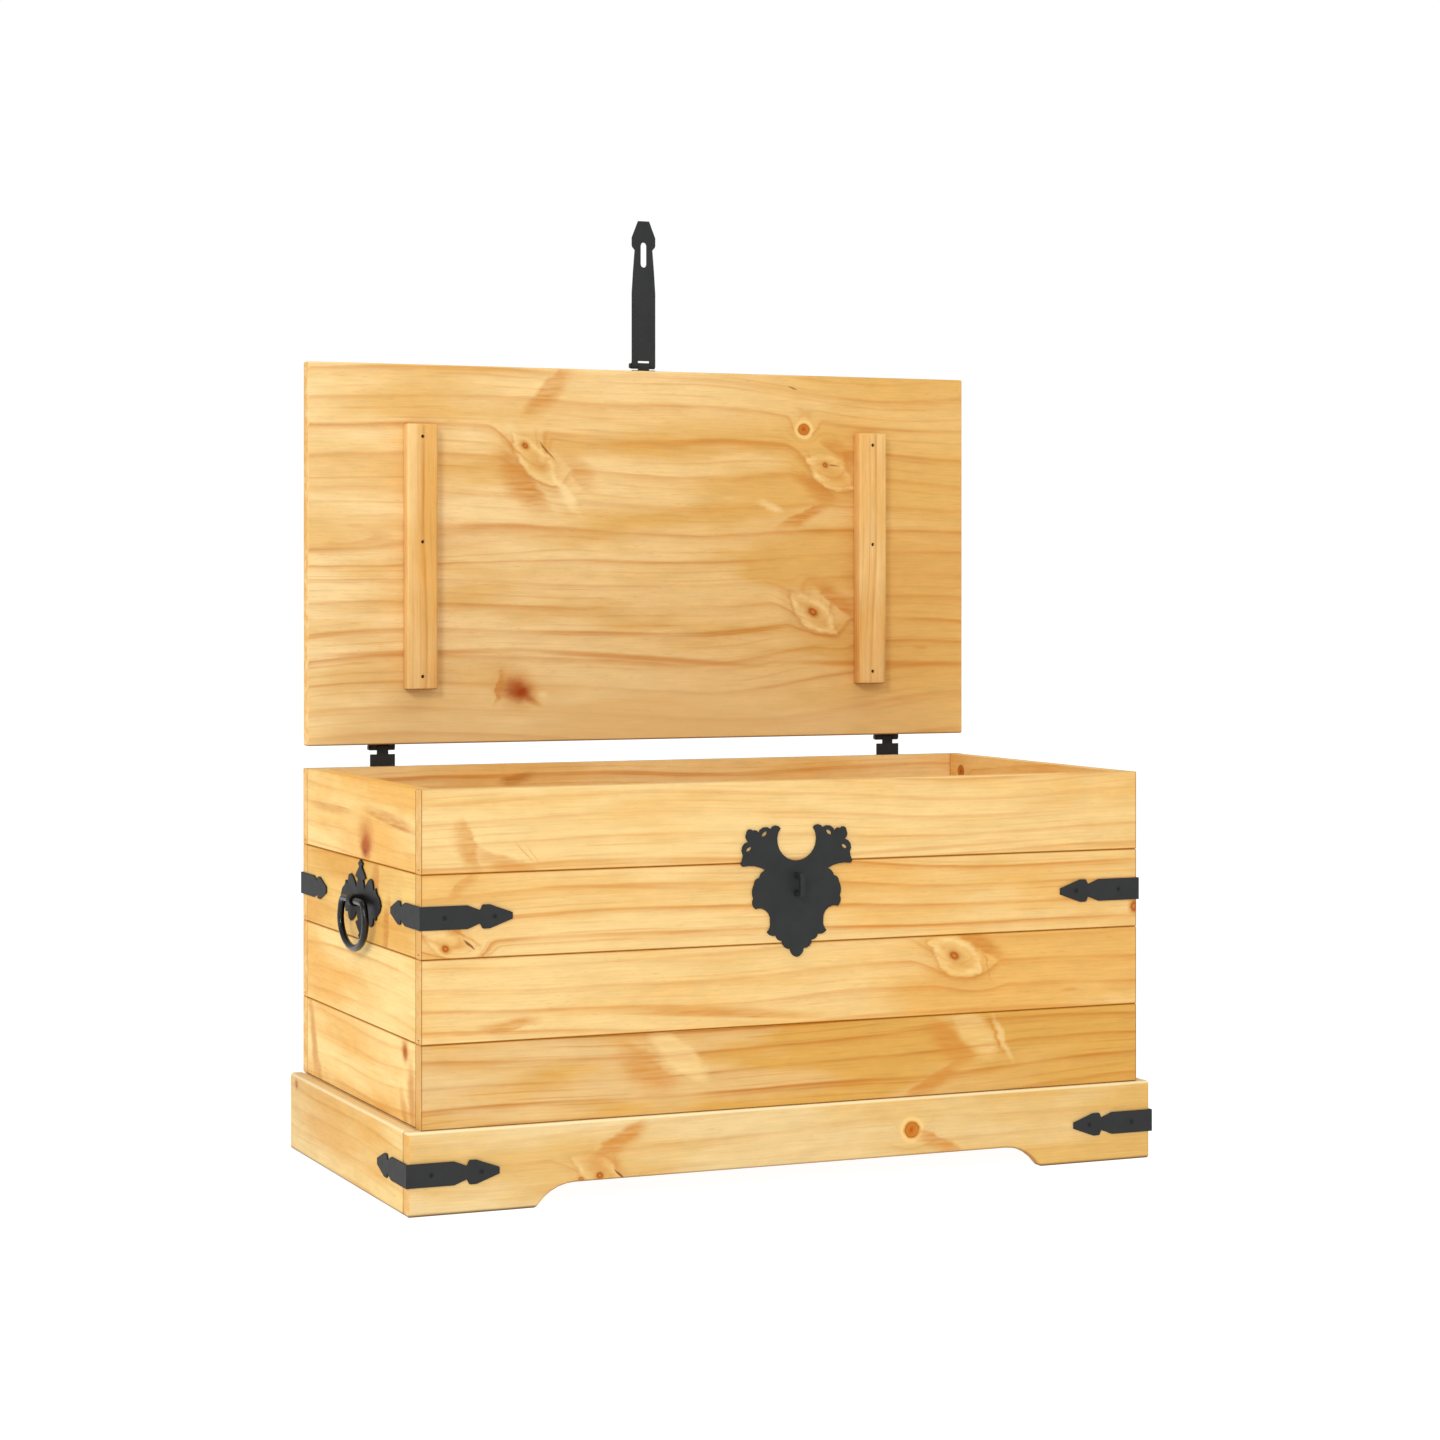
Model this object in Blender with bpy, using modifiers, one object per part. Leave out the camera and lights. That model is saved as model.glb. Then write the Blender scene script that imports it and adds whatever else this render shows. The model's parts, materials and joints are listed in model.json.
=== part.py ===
# Storage chest of pine boards with its lid standing open, and black iron fittings.
# Metres, +Z up, the front at -Y. The origin is on the floor, under the middle of the chest's
# whole depth, from the staple at the front to the hinge knuckles at the back.
# The walls are boards laid one on another with tongues, grooves and V joints between them.
# The lid, its battens and its fittings are modelled shut, and the lid's empty turns them open.

import math

import bmesh
import bpy
from mathutils import Matrix, Vector

# Clearance between touching pieces, and how far a cutter runs past what it cuts
GAP = 0.0003
OVERRUN = 0.002

# Plinth: four boards round the foot, the front one with a low arch
PLINTH_WIDTH = 0.910
PLINTH_DEPTH = 0.460
PLINTH_HEIGHT = 0.0908
PLINTH_THICKNESS = 0.016
PLINTH_EASE = 0.0025
ARCH_HEIGHT = 0.0245
ARCH_FOOT = 0.145
ARCH_SLOPE_WIDTH = 0.009
ARCH_SLOPE_HEIGHT = 0.010
ARCH_CURVE_WIDTH = 0.037
arch_bulge_share = 0.095

# Walls: rows of boards, set back a little from the plinth's front
BOARD_ROWS = 4
BOARD_PITCH = 0.0908
BOARD_THICKNESS = 0.018
FRONT_SETBACK = 0.003
JOINT_CHAMFER = 0.0013
TONGUE_HEIGHT = 0.005
tongue_share = 1 / 3

# Bottom board and the rails that carry it and the walls
RAIL_WIDTH = 0.030
RAIL_HEIGHT = 0.040
BOTTOM_THICKNESS = 0.010

# Lid, its two battens and their screws
LID_THICKNESS = 0.018
LID_OVERHANG = 0.002
LID_EASE = 0.002
LID_OPEN_DEGREES = 90
BATTEN_WIDTH = 0.038
BATTEN_THICKNESS = 0.018
BATTEN_EASE = 0.002
BATTEN_SIDE_MARGIN = 0.119
BATTEN_BACK_MARGIN = 0.0665
BATTEN_FRONT_MARGIN = 0.0725
BATTEN_SCREW_MARGIN = 0.0155
batten_screw_share = 0.555
SCREW_HEAD_RADIUS = 0.0019
SCREW_HEAD_HEIGHT = 0.0015
SCREW_SHANK_RADIUS = 0.0011
SCREW_LENGTH = 0.022
SCREW_RECESS_DEPTH = 0.0040

# Hinges: a leaf on the lid's top, a leaf on the back and a headed pin
HINGE_SIDE_MARGIN = 0.099
HINGE_WIDTH = 0.031
HINGE_MIDDLE_KNUCKLE = 0.014
KNUCKLE_RADIUS = 0.0038
KNUCKLE_SIDE_GAP = 0.0004
METAL_THICKNESS = 0.002
PIN_RADIUS = 0.0018
PIN_HEAD_RADIUS = 0.0032
PIN_HEAD_LENGTH = 0.002
LEAF_KNUCKLE_CLEARANCE = 0.0008
LID_LEAF_LENGTH = 0.150
BACK_LEAF_LENGTH = 0.075
BACK_LEAF_SHOULDER = 0.0084
lid_leaf_outline_shares = [
    (0.66, 0.50), (0.76, 0.28), (0.775, 0.47), (0.79, 0.50), (0.85, 0.50), (1.0, 0.14),
]

# Hasp: its plate on the lid, the strap that swings, and their pin
HASP_WIDTH = 0.0313
HASP_TAB_WIDTH = 0.0147
HASP_PIN_REACH = 0.0075
HASP_WINDOW_EDGE = 0.006
HASP_LENGTH = 0.181
HASP_SLOT_WIDTH = 0.0081
HASP_SLOT_LENGTH = 0.0316
HASP_PLATE_LENGTH = 0.090
hasp_outline_shares = [
    (0.50, 0.50), (0.66, 0.44), (0.80, 0.373), (0.82, 0.48), (0.832, 0.50), (0.885, 0.50), (1.0, 0.233),
]
hasp_plate_outline_shares = [(0.70, 0.50), (1.0, 0.14)]

# Lock plate on the front, with its staple. The outline runs up the right half from the lowest
# point: across as a share of the half width, up as a share of the height, and the rise of the
# arc to the next point as a share of its chord.
LOCK_PLATE_HALF_WIDTH = 0.0684
LOCK_PLATE_HEIGHT = 0.1475
LOCK_PLATE_DROP = 0.050
LOCK_CUTOUT_RADIUS = 0.0242
LOCK_CUTOUT_DEPTH = 0.0397
LOBE_STEPS = 4
lock_outline_shares = [
    (0.0, 0.0, -0.18), (0.12, 0.064, -0.23), (0.265, 0.125, -0.18), (0.38, 0.169, -0.17),
    (0.532, 0.195, 0.12), (0.475, 0.271, 0.20), (0.636, 0.378, 0.06), (0.738, 0.374, -0.19),
    (0.776, 0.455, -0.12), (0.76, 0.562, -0.20), (0.668, 0.61, -0.14), (0.557, 0.666, 0.085),
    (0.966, 0.698, -0.10), (1.0, 0.72, 0.05), (0.959, 0.786, -0.27), (0.867, 0.885, -0.20),
    (0.896, 0.949, -0.40), (0.785, 0.966, -0.30), (0.687, 0.943, -0.285), (0.468, 0.977, -0.28),
    (0.292, 0.98, 0.0),
]
lock_pierced_shares = [((0.526, 0.957), (0.633, 0.921)), ((0.808, 0.843), (0.909, 0.812))]
pierced_bulge_share = 0.24
STAPLE_BAR = 0.0055
STAPLE_HEIGHT = 0.0255
STAPLE_REACH = 0.0158
STAPLE_DROP = 0.0663
STAPLE_LEG_DEPTH = 0.010
STAPLE_CORNER = 0.003

# Corner straps: two arms with arrow tips. Along the arm, then half the height, as shares.
STRAP_ARM = 0.105
STRAP_HEIGHT = 0.0255
STRAP_DROP = 0.1372
PLINTH_STRAP_RISE = 0.0443
strap_outline_shares = [
    (0.514, 0.50), (0.65, 0.28), (0.67, 0.47), (0.682, 0.51), (0.752, 0.51), (1.0, 0.14),
]

# Side handles: a flame-edged plate with a clip, and a bail that hangs in the clip.
# The plate's outline is one quarter, from its top point outwards: across as a share of the
# half width, up as a share of the half height, and the arc's rise as a share of its chord.
HANDLE_HALF_WIDTH = 0.077
HANDLE_HALF_HEIGHT = 0.046
HANDLE_DROP = 0.1363
HANDLE_FORWARD = 0.013
HANDLE_STEPS = 3
handle_outline_shares = [
    (0.0, 1.0, 0.0), (0.117, 0.89, 0.0), (0.06, 0.815, 0.0), (0.174, 0.685, 0.0),
    (0.256, 0.565, 0.0), (0.13, 0.5, 0.05), (0.201, 0.265, 0.10), (0.494, 0.591, -0.12),
    (0.582, 0.559, 0.05), (0.643, 0.315, 0.10), (0.757, 0.391, -0.15), (0.825, 0.245, 0.12),
    (0.985, 0.02, 0.0), (1.0, 0.0, 0.0),
]
BAIL_RADIUS = 0.004
BAIL_STANDOFF = 0.0085
BAIL_HALF_WIDTH = 0.0484
BAIL_DROP = 0.0535
BAIL_TURNS = 7
bail_top_shares = [(0.0, 0.0), (0.70, 0.0), (0.80, 0.015), (0.875, 0.07), (0.93, 0.16)]
bail_widest_share = 0.39
BAIL_CLEARANCE = 0.0004
CLIP_WIDTH = 0.012
CLIP_WALL = 0.002
CLIP_SINK = 0.001

# Places worked out from the sizes above
PLINTH_HALF_WIDTH = PLINTH_WIDTH / 2
FRONT_REACH = GAP + METAL_THICKNESS + STAPLE_REACH - FRONT_SETBACK
BACK_REACH = GAP + 2 * KNUCKLE_RADIUS
PLINTH_FRONT = (FRONT_REACH - BACK_REACH - PLINTH_DEPTH) / 2
PLINTH_BACK = PLINTH_FRONT + PLINTH_DEPTH
BODY_HALF_WIDTH = PLINTH_HALF_WIDTH - PLINTH_THICKNESS
BODY_FRONT = PLINTH_FRONT + FRONT_SETBACK
BODY_BACK = PLINTH_BACK
BODY_TOP = PLINTH_HEIGHT + BOARD_ROWS * BOARD_PITCH
LID_BOTTOM = BODY_TOP + GAP
LID_TOP = LID_BOTTOM + LID_THICKNESS
LID_FRONT = BODY_FRONT - LID_OVERHANG
LID_BACK = BODY_BACK
LEAF_BOTTOM = LID_TOP + GAP
PIN_Y = BODY_BACK + GAP + KNUCKLE_RADIUS
PIN_Z = LEAF_BOTTOM + KNUCKLE_RADIUS
BORE_RADIUS = PIN_RADIUS + GAP
HASP_PIN_Y = LID_FRONT - HASP_PIN_REACH
LOCK_FACE = BODY_FRONT - GAP - METAL_THICKNESS
LOCK_PLATE_TOP = BODY_TOP - LOCK_PLATE_DROP
LOCK_PLATE_TIP = LOCK_PLATE_TOP - LOCK_PLATE_HEIGHT
STAPLE_Z = LOCK_PLATE_TOP - STAPLE_DROP
HASP_SLOT_PLACE = PIN_Z - STAPLE_Z
HANDLE_Y = (BODY_FRONT + BODY_BACK) / 2 - HANDLE_FORWARD
HANDLE_Z = BODY_TOP - HANDLE_DROP
BAIL_X = BODY_HALF_WIDTH + GAP + METAL_THICKNESS + BAIL_STANDOFF

UP = Vector((0, 0, 1))
ROUND_SIDES = 16
MERGE = 0.00001


def clear_scene():
    """Removes everything that the scene holds."""
    for thing in list(bpy.data.objects):
        bpy.data.objects.remove(thing)


def new_collection(name):
    """Adds a collection to the scene."""
    collection = bpy.data.collections.new(name)
    bpy.context.scene.collection.children.link(collection)
    return collection


def new_material(name, colour, roughness, metallic):
    """A plain Principled material."""
    material = bpy.data.materials.new(name)
    material.use_nodes = True
    shader = material.node_tree.nodes["Principled BSDF"]
    shader.inputs["Base Color"].default_value = (*colour, 1)
    shader.inputs["Roughness"].default_value = roughness
    shader.inputs["Metallic"].default_value = metallic
    return material


def add_piece(name, mesh, material, parent=None, placement=None):
    """Puts a mesh in the chest's collection, with its material, on its parent."""
    piece = bpy.data.objects.new(name, mesh)
    mesh.materials.append(material)
    parts.objects.link(piece)
    if placement is not None:
        piece.matrix_world = placement
    hang_on(piece, parent)
    return piece


def add_cutter(name, mesh, parent=None, placement=None):
    """Puts a mesh in the cutters' collection, drawn as wire and left out of renders."""
    cutter = bpy.data.objects.new(name, mesh)
    cutters.objects.link(cutter)
    cutter.display_type = "WIRE"
    cutter.hide_render = True
    if placement is not None:
        cutter.matrix_world = placement
    hang_on(cutter, parent)
    return cutter


def hang_on(thing, parent):
    """Ties a thing to its joint's empty, which still stands in the modelled pose."""
    if parent is None:
        return
    thing.parent = parent
    thing.matrix_parent_inverse = modelled_pose[parent.name].inverted()


def add_joint_empty(name, place, parent=None):
    """An empty on a joint's axis, with the pose that its pieces are modelled in."""
    empty = bpy.data.objects.new(name, None)
    parts.objects.link(empty)
    modelled_pose[name] = Matrix.Translation(place)
    empty.matrix_world = modelled_pose[name]
    hang_on(empty, parent)
    return empty


def combine(piece, tool, operation):
    """Adds a Boolean modifier that joins the tool to the piece or cuts it out."""
    modifier = piece.modifiers.new(tool.name, "BOOLEAN")
    modifier.object = tool
    modifier.operation = operation
    modifier.solver = "EXACT"


def ease(piece, width, segments):
    """Rounds a piece's sharp edges."""
    modifier = piece.modifiers.new("ease", "BEVEL")
    modifier.width = width
    modifier.segments = segments
    modifier.limit_method = "ANGLE"


def shade_round(piece):
    """Shades the round stretches smooth and leaves the corners sharp."""
    piece.data.shade_smooth()
    piece.data.set_sharp_from_angle(angle=math.radians(40))


def box_mesh(name, low, high):
    """A box between two corners."""
    low = Vector(low)
    high = Vector(high)
    mesh = bpy.data.meshes.new(name)
    shape = bmesh.new()
    bmesh.ops.create_cube(shape, size=1)
    bmesh.ops.scale(shape, vec=high - low, verts=shape.verts)
    bmesh.ops.translate(shape, vec=(low + high) / 2, verts=shape.verts)
    shape.to_mesh(mesh)
    shape.free()
    return mesh


def rod_mesh(name, radius, start, end, sides=ROUND_SIDES):
    """A straight rod between two points, with a flat of its rim facing along Y and Z."""
    start = Vector(start)
    end = Vector(end)
    mesh = bpy.data.meshes.new(name)
    shape = bmesh.new()
    bmesh.ops.create_cone(shape, cap_ends=True, segments=sides, radius1=radius, radius2=radius,
                          depth=(end - start).length)
    turn = Matrix.Rotation(math.pi / sides, 4, "Z")
    lean = UP.rotation_difference(end - start).to_matrix().to_4x4()
    place = Matrix.Translation((start + end) / 2)
    bmesh.ops.transform(shape, matrix=place @ lean @ turn, verts=shape.verts)
    shape.to_mesh(mesh)
    shape.free()
    return mesh


def turned_mesh(name, profile, sides=ROUND_SIDES):
    """A profile of (radius, height) turned about Z, listed from its top to its foot."""
    mesh = bpy.data.meshes.new(name)
    mesh.from_pydata([(radius, 0, height) for radius, height in profile],
                     [(n, n + 1) for n in range(len(profile) - 1)], [])
    rough = bpy.data.objects.new(name, mesh)
    bpy.context.scene.collection.objects.link(rough)
    screw = rough.modifiers.new("turn", "SCREW")
    screw.steps = sides
    screw.render_steps = sides
    screw.use_merge_vertices = True
    screw.merge_threshold = MERGE
    return mesh_of(rough)


def mesh_of(rough):
    """The evaluated mesh of a curve or a modified object, which is then removed."""
    bpy.context.view_layer.update()
    graph = bpy.context.evaluated_depsgraph_get()
    mesh = bpy.data.meshes.new_from_object(rough.evaluated_get(graph))
    bpy.data.objects.remove(rough)
    shape = bmesh.new()
    shape.from_mesh(mesh)
    bmesh.ops.remove_doubles(shape, verts=shape.verts, dist=MERGE)
    bmesh.ops.recalc_face_normals(shape, faces=shape.faces)
    shape.to_mesh(mesh)
    shape.free()
    return mesh


def plate_mesh(name, loops, thickness):
    """A flat piece in the XY plane: filled outlines, with their holes, and a thickness."""
    curve = bpy.data.curves.new(name, "CURVE")
    curve.dimensions = "2D"
    curve.fill_mode = "BOTH"
    curve.extrude = thickness / 2
    for loop in loops:
        spline = curve.splines.new("POLY")
        spline.points.add(len(loop) - 1)
        spline.use_cyclic_u = True
        for point, (x, y) in zip(spline.points, loop):
            point.co = (x, y, 0, 1)
    rough = bpy.data.objects.new(name, curve)
    bpy.context.scene.collection.objects.link(rough)
    return mesh_of(rough)


def merge_flat_faces(mesh):
    """Joins the triangles of a cap into one face, so that its rim can be eased."""
    shape = bmesh.new()
    shape.from_mesh(mesh)
    bmesh.ops.dissolve_limit(shape, angle_limit=math.radians(1), verts=shape.verts, edges=shape.edges)
    shape.to_mesh(mesh)
    shape.free()
    return mesh


def placed(origin, along, up=UP):
    """A matrix with X along one direction, Y up another and its origin at a point."""
    along = Vector(along)
    up = Vector(up)
    matrix = Matrix((along, up, along.cross(up))).transposed().to_4x4()
    return Matrix.Translation(origin) @ matrix


def arc(start, end, rise_share, steps):
    """Points of an arc from start to end, whose rise is a share of its chord."""
    start = Vector(start)
    end = Vector(end)
    if rise_share == 0:
        return [tuple(start)]
    chord = end - start
    side = Vector((-chord.y, chord.x))
    half_angle = 2 * math.atan(2 * abs(rise_share))
    sign = math.copysign(1, rise_share)
    points = []
    for n in range(steps):
        angle = half_angle * (2 * n / steps - 1)
        along_share = (1 + math.sin(angle) / math.sin(half_angle)) / 2
        rise = (math.cos(angle) - math.cos(half_angle)) / (2 * math.sin(half_angle))
        points.append(tuple(start + chord * along_share + side * sign * rise))
    return points


def curved_outline(corners, steps):
    """An open outline through corners of (across, up, rise share), with an arc from each."""
    points = []
    for (x, y, rise_share), (next_x, next_y, _) in zip(corners, corners[1:]):
        points += arc((x, y), (next_x, next_y), rise_share, steps)
    points.append(corners[-1][:2])
    return points


def arrow_outline(shares, length, width, start=0):
    """A strap along +X with a shaped tip, symmetric about the X axis."""
    upper = [(along * length, across * width) for along, across in shares]
    upper.insert(0, (start, width / 2))
    lower = [(x, -y) for x, y in reversed(upper)]
    return upper + lower


def wall_board_outline(first_row, last_row):
    """A board's section: X outwards from its inner face, Y up, V joints on the outer face."""
    height = BOARD_PITCH - GAP
    tongue = BOARD_THICKNESS * tongue_share
    inner = (BOARD_THICKNESS - tongue) / 2
    outer = inner + tongue
    face = BOARD_THICKNESS - JOINT_CHAMFER
    foot = [(0, 0)]
    if not first_row:
        groove = TONGUE_HEIGHT + GAP
        foot += [(inner - GAP, 0), (inner - GAP, groove), (outer + GAP, groove), (outer + GAP, 0)]
    foot += [(face, 0), (BOARD_THICKNESS, JOINT_CHAMFER)]
    top = [(BOARD_THICKNESS, height - JOINT_CHAMFER), (face, height)]
    if not last_row:
        tongue_top = height + TONGUE_HEIGHT
        top += [(outer, height), (outer, tongue_top), (inner, tongue_top), (inner, height)]
    return foot + top + [(0, height)]


def add_wall(side, outward, face, length, middle):
    """One wall: a board in each row, with its inner face against the chest's inside."""
    outward = Vector(outward)
    for row in range(BOARD_ROWS):
        outline = wall_board_outline(row == 0, row == BOARD_ROWS - 1)
        name = f"{side}_board_{row + 1}"
        mesh = plate_mesh(name, [outline], length)
        foot = PLINTH_HEIGHT + row * BOARD_PITCH
        origin = outward * (face - BOARD_THICKNESS) + Vector(middle) + UP * foot
        boards[name] = add_piece(name, mesh, pine, placement=placed(origin, outward))


def add_walls():
    """The front and the back run full width, and the sides fit between them."""
    side_length = BODY_BACK - BODY_FRONT - 2 * BOARD_THICKNESS - 2 * GAP
    side_middle = (0, (BODY_BACK + BODY_FRONT) / 2, 0)
    add_wall("front", (0, -1, 0), -BODY_FRONT, 2 * BODY_HALF_WIDTH, (0, 0, 0))
    add_wall("back", (0, 1, 0), BODY_BACK, 2 * BODY_HALF_WIDTH, (0, 0, 0))
    add_wall("left", (-1, 0, 0), BODY_HALF_WIDTH, side_length, side_middle)
    add_wall("right", (1, 0, 0), BODY_HALF_WIDTH, side_length, side_middle)


def add_plinth():
    """The front board covers the ends of the side boards, and the back fits between them."""
    arch_end = PLINTH_HALF_WIDTH - ARCH_FOOT
    slope_top = (arch_end - ARCH_SLOPE_WIDTH, ARCH_SLOPE_HEIGHT)
    curve_top = (slope_top[0] - ARCH_CURVE_WIDTH, ARCH_HEIGHT)
    right = [(arch_end, 0)] + arc(slope_top, curve_top, -arch_bulge_share, LOBE_STEPS) + [curve_top]
    left = [(-x, y) for x, y in right]
    height = PLINTH_HEIGHT - GAP
    edge = PLINTH_HALF_WIDTH
    corners = [(edge, 0), (edge, height), (-edge, height), (-edge, 0)]
    mesh = merge_flat_faces(plate_mesh("plinth_front", [corners + left + right[::-1]], PLINTH_THICKNESS))
    middle = PLINTH_FRONT + PLINTH_THICKNESS / 2
    front = add_piece("plinth_front", mesh, pine, placement=placed((0, middle, 0), (1, 0, 0)))
    ease(front, PLINTH_EASE, 2)
    inner = edge - PLINTH_THICKNESS
    behind = PLINTH_FRONT + PLINTH_THICKNESS + GAP
    for name, low_x, high_x in (("plinth_left", -edge, -inner), ("plinth_right", inner, edge)):
        board = add_piece(name, box_mesh(name, (low_x, behind, 0), (high_x, PLINTH_BACK, height)), pine)
        ease(board, PLINTH_EASE, 2)
    low = (-inner + GAP, PLINTH_BACK - PLINTH_THICKNESS, 0)
    high = (inner - GAP, PLINTH_BACK, height)
    ease(add_piece("plinth_back", box_mesh("plinth_back", low, high), pine), PLINTH_EASE, 2)


def add_base():
    """Rails inside the plinth carry the walls and the bottom board."""
    side = PLINTH_HALF_WIDTH - PLINTH_THICKNESS - GAP
    front = PLINTH_FRONT + PLINTH_THICKNESS + GAP
    back = PLINTH_BACK - PLINTH_THICKNESS - GAP
    top = PLINTH_HEIGHT - GAP
    foot = top - RAIL_HEIGHT
    inside = side - RAIL_WIDTH - GAP
    rails = {
        "rail_left": ((-side, front, foot), (-side + RAIL_WIDTH, back, top)),
        "rail_right": ((side - RAIL_WIDTH, front, foot), (side, back, top)),
        "rail_front": ((-inside, front, foot), (inside, front + RAIL_WIDTH, top)),
        "rail_back": ((-inside, back - RAIL_WIDTH, foot), (inside, back, top)),
    }
    for name, (low, high) in rails.items():
        add_piece(name, box_mesh(name, low, high), pine_pale)
    wall = BOARD_THICKNESS + GAP
    low = (-BODY_HALF_WIDTH + wall, BODY_FRONT + wall, PLINTH_HEIGHT)
    high = (BODY_HALF_WIDTH - wall, BODY_BACK - wall, PLINTH_HEIGHT + BOTTOM_THICKNESS)
    add_piece("bottom_board", box_mesh("bottom_board", low, high), pine_pale)


def add_screw(name, x, y, head_top):
    """A screw driven upwards through a batten into the lid, with its head in the recess."""
    profile = [
        (0, SCREW_LENGTH), (SCREW_SHANK_RADIUS, SCREW_LENGTH), (SCREW_SHANK_RADIUS, SCREW_HEAD_HEIGHT),
        (SCREW_HEAD_RADIUS, SCREW_HEAD_HEIGHT), (SCREW_HEAD_RADIUS, 0), (0, 0),
    ]
    mesh = turned_mesh(name, profile)
    screw = add_piece(name, mesh, iron, lid_empty, Matrix.Translation((x, y, head_top)))
    shade_round(screw)


def add_battens(lid):
    """Two battens under the lid, each with three screws sunk in recesses."""
    foot = LID_BOTTOM - GAP - BATTEN_THICKNESS
    front = LID_FRONT + BATTEN_FRONT_MARGIN
    back = LID_BACK - BATTEN_BACK_MARGIN
    outer = BODY_HALF_WIDTH - BATTEN_SIDE_MARGIN
    screw_ys = [
        back - BATTEN_SCREW_MARGIN, back + (front - back) * batten_screw_share, front + BATTEN_SCREW_MARGIN,
    ]
    for side, sign in (("left", -1), ("right", 1)):
        low_x, high_x = sorted((sign * outer, sign * (outer - BATTEN_WIDTH)))
        mesh = box_mesh(f"batten_{side}", (low_x, front, foot), (high_x, back, LID_BOTTOM - GAP))
        batten = add_piece(f"batten_{side}", mesh, pine, lid_empty)
        ease(batten, BATTEN_EASE, 2)
        x = (low_x + high_x) / 2
        for number, y in enumerate(screw_ys, start=1):
            head = foot + SCREW_RECESS_DEPTH - SCREW_HEAD_HEIGHT
            recess_top = head + SCREW_HEAD_HEIGHT + GAP
            hole_top = head + SCREW_LENGTH + GAP
            name = f"batten_screw_{side}_{number}"
            mouth = (x, y, foot - OVERRUN)
            recess = rod_mesh(name + "_recess", SCREW_HEAD_RADIUS + GAP, mouth, (x, y, recess_top))
            hole = rod_mesh(name + "_hole", SCREW_SHANK_RADIUS + GAP, mouth, (x, y, hole_top))
            combine(batten, add_cutter(name + "_recess", recess, lid_empty), "DIFFERENCE")
            hole_cutter = add_cutter(name + "_hole", hole, lid_empty)
            combine(batten, hole_cutter, "DIFFERENCE")
            combine(lid, hole_cutter, "DIFFERENCE")
            add_screw(name, x, y, head)


def add_lid():
    """The lid's panel, modelled shut on the walls."""
    low = (-BODY_HALF_WIDTH, LID_FRONT, LID_BOTTOM)
    high = (BODY_HALF_WIDTH, LID_BACK, LID_TOP)
    mesh = box_mesh("lid_panel", low, high)
    lid = add_piece("lid_panel", mesh, pine, lid_empty)
    ease(lid, LID_EASE, 2)
    return lid


def knuckle(piece, name, x_from, x_to, y, parent):
    """Joins a knuckle round a pin's axis to a leaf."""
    mesh = rod_mesh(name, KNUCKLE_RADIUS, (x_from, y, PIN_Z), (x_to, y, PIN_Z))
    combine(piece, add_cutter(name, mesh, parent), "UNION")


def bore(piece, name, half_length, x, y, parent):
    """Cuts a pin's hole through the knuckles of a leaf."""
    reach = half_length + OVERRUN
    mesh = rod_mesh(name, BORE_RADIUS, (x - reach, y, PIN_Z), (x + reach, y, PIN_Z))
    combine(piece, add_cutter(name, mesh, parent), "DIFFERENCE")


def add_pin(name, half_length, x, y, parent):
    """A headed pin, with its head at the left."""
    start = x - half_length - PIN_HEAD_LENGTH / 2
    mesh = rod_mesh(name, PIN_RADIUS, (start, y, PIN_Z), (x + half_length, y, PIN_Z))
    pin = add_piece(name, mesh, iron, parent)
    head_end = x - half_length - PIN_HEAD_LENGTH
    head = rod_mesh(name + "_head", PIN_HEAD_RADIUS, (head_end, y, PIN_Z), (x - half_length - GAP, y, PIN_Z))
    combine(pin, add_cutter(name + "_head", head, parent), "UNION")
    shade_round(pin)


def leaf_with_notch(shares, length, width, notch_width, notch_depth):
    """A leaf along +X from a pin at the origin, cut back round the other leaf's knuckle."""
    outline = arrow_outline(shares, length, width)
    half = notch_width / 2
    return outline + [(0, -half), (notch_depth, -half), (notch_depth, half), (0, half)]


def add_hinge(side, x):
    """One hinge. The lid's leaf has the outer knuckles, and the back's leaf the middle one."""
    half = HINGE_WIDTH / 2
    middle = HINGE_MIDDLE_KNUCKLE / 2
    notch_width = HINGE_MIDDLE_KNUCKLE + 2 * KNUCKLE_SIDE_GAP
    notch_depth = KNUCKLE_RADIUS + LEAF_KNUCKLE_CLEARANCE
    plate_z = LEAF_BOTTOM + METAL_THICKNESS / 2
    name = f"hinge_lid_leaf_{side}"
    shares = lid_leaf_outline_shares
    outline = leaf_with_notch(shares, LID_LEAF_LENGTH, HINGE_WIDTH, notch_width, notch_depth)
    mesh = plate_mesh(name, [outline], METAL_THICKNESS)
    leaf = add_piece(name, mesh, iron, lid_empty, placed((x, PIN_Y, plate_z), (0, -1, 0), (1, 0, 0)))
    knuckle(leaf, name + "_knuckle_a", x - half, x - notch_width / 2, PIN_Y, lid_empty)
    knuckle(leaf, name + "_knuckle_b", x + notch_width / 2, x + half, PIN_Y, lid_empty)
    bore(leaf, name + "_bore", half, x, PIN_Y, lid_empty)
    name = f"hinge_back_leaf_{side}"
    shoulder = PIN_Z - BACK_LEAF_SHOULDER
    foot = PIN_Z - BACK_LEAF_LENGTH
    outline = [(-middle, PIN_Z), (-middle, shoulder), (-half, shoulder), (-half, foot),
               (half, foot), (half, shoulder), (middle, shoulder), (middle, PIN_Z)]
    mesh = plate_mesh(name, [outline], METAL_THICKNESS)
    leaf_y = BODY_BACK + GAP + METAL_THICKNESS / 2
    leaf = add_piece(name, mesh, iron, placement=placed((x, leaf_y, 0), (1, 0, 0)))
    knuckle(leaf, name + "_knuckle", x - middle, x + middle, PIN_Y, None)
    bore(leaf, name + "_bore", middle, x, PIN_Y, None)
    add_pin(f"hinge_pin_{side}", half, x, PIN_Y, lid_empty)


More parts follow.
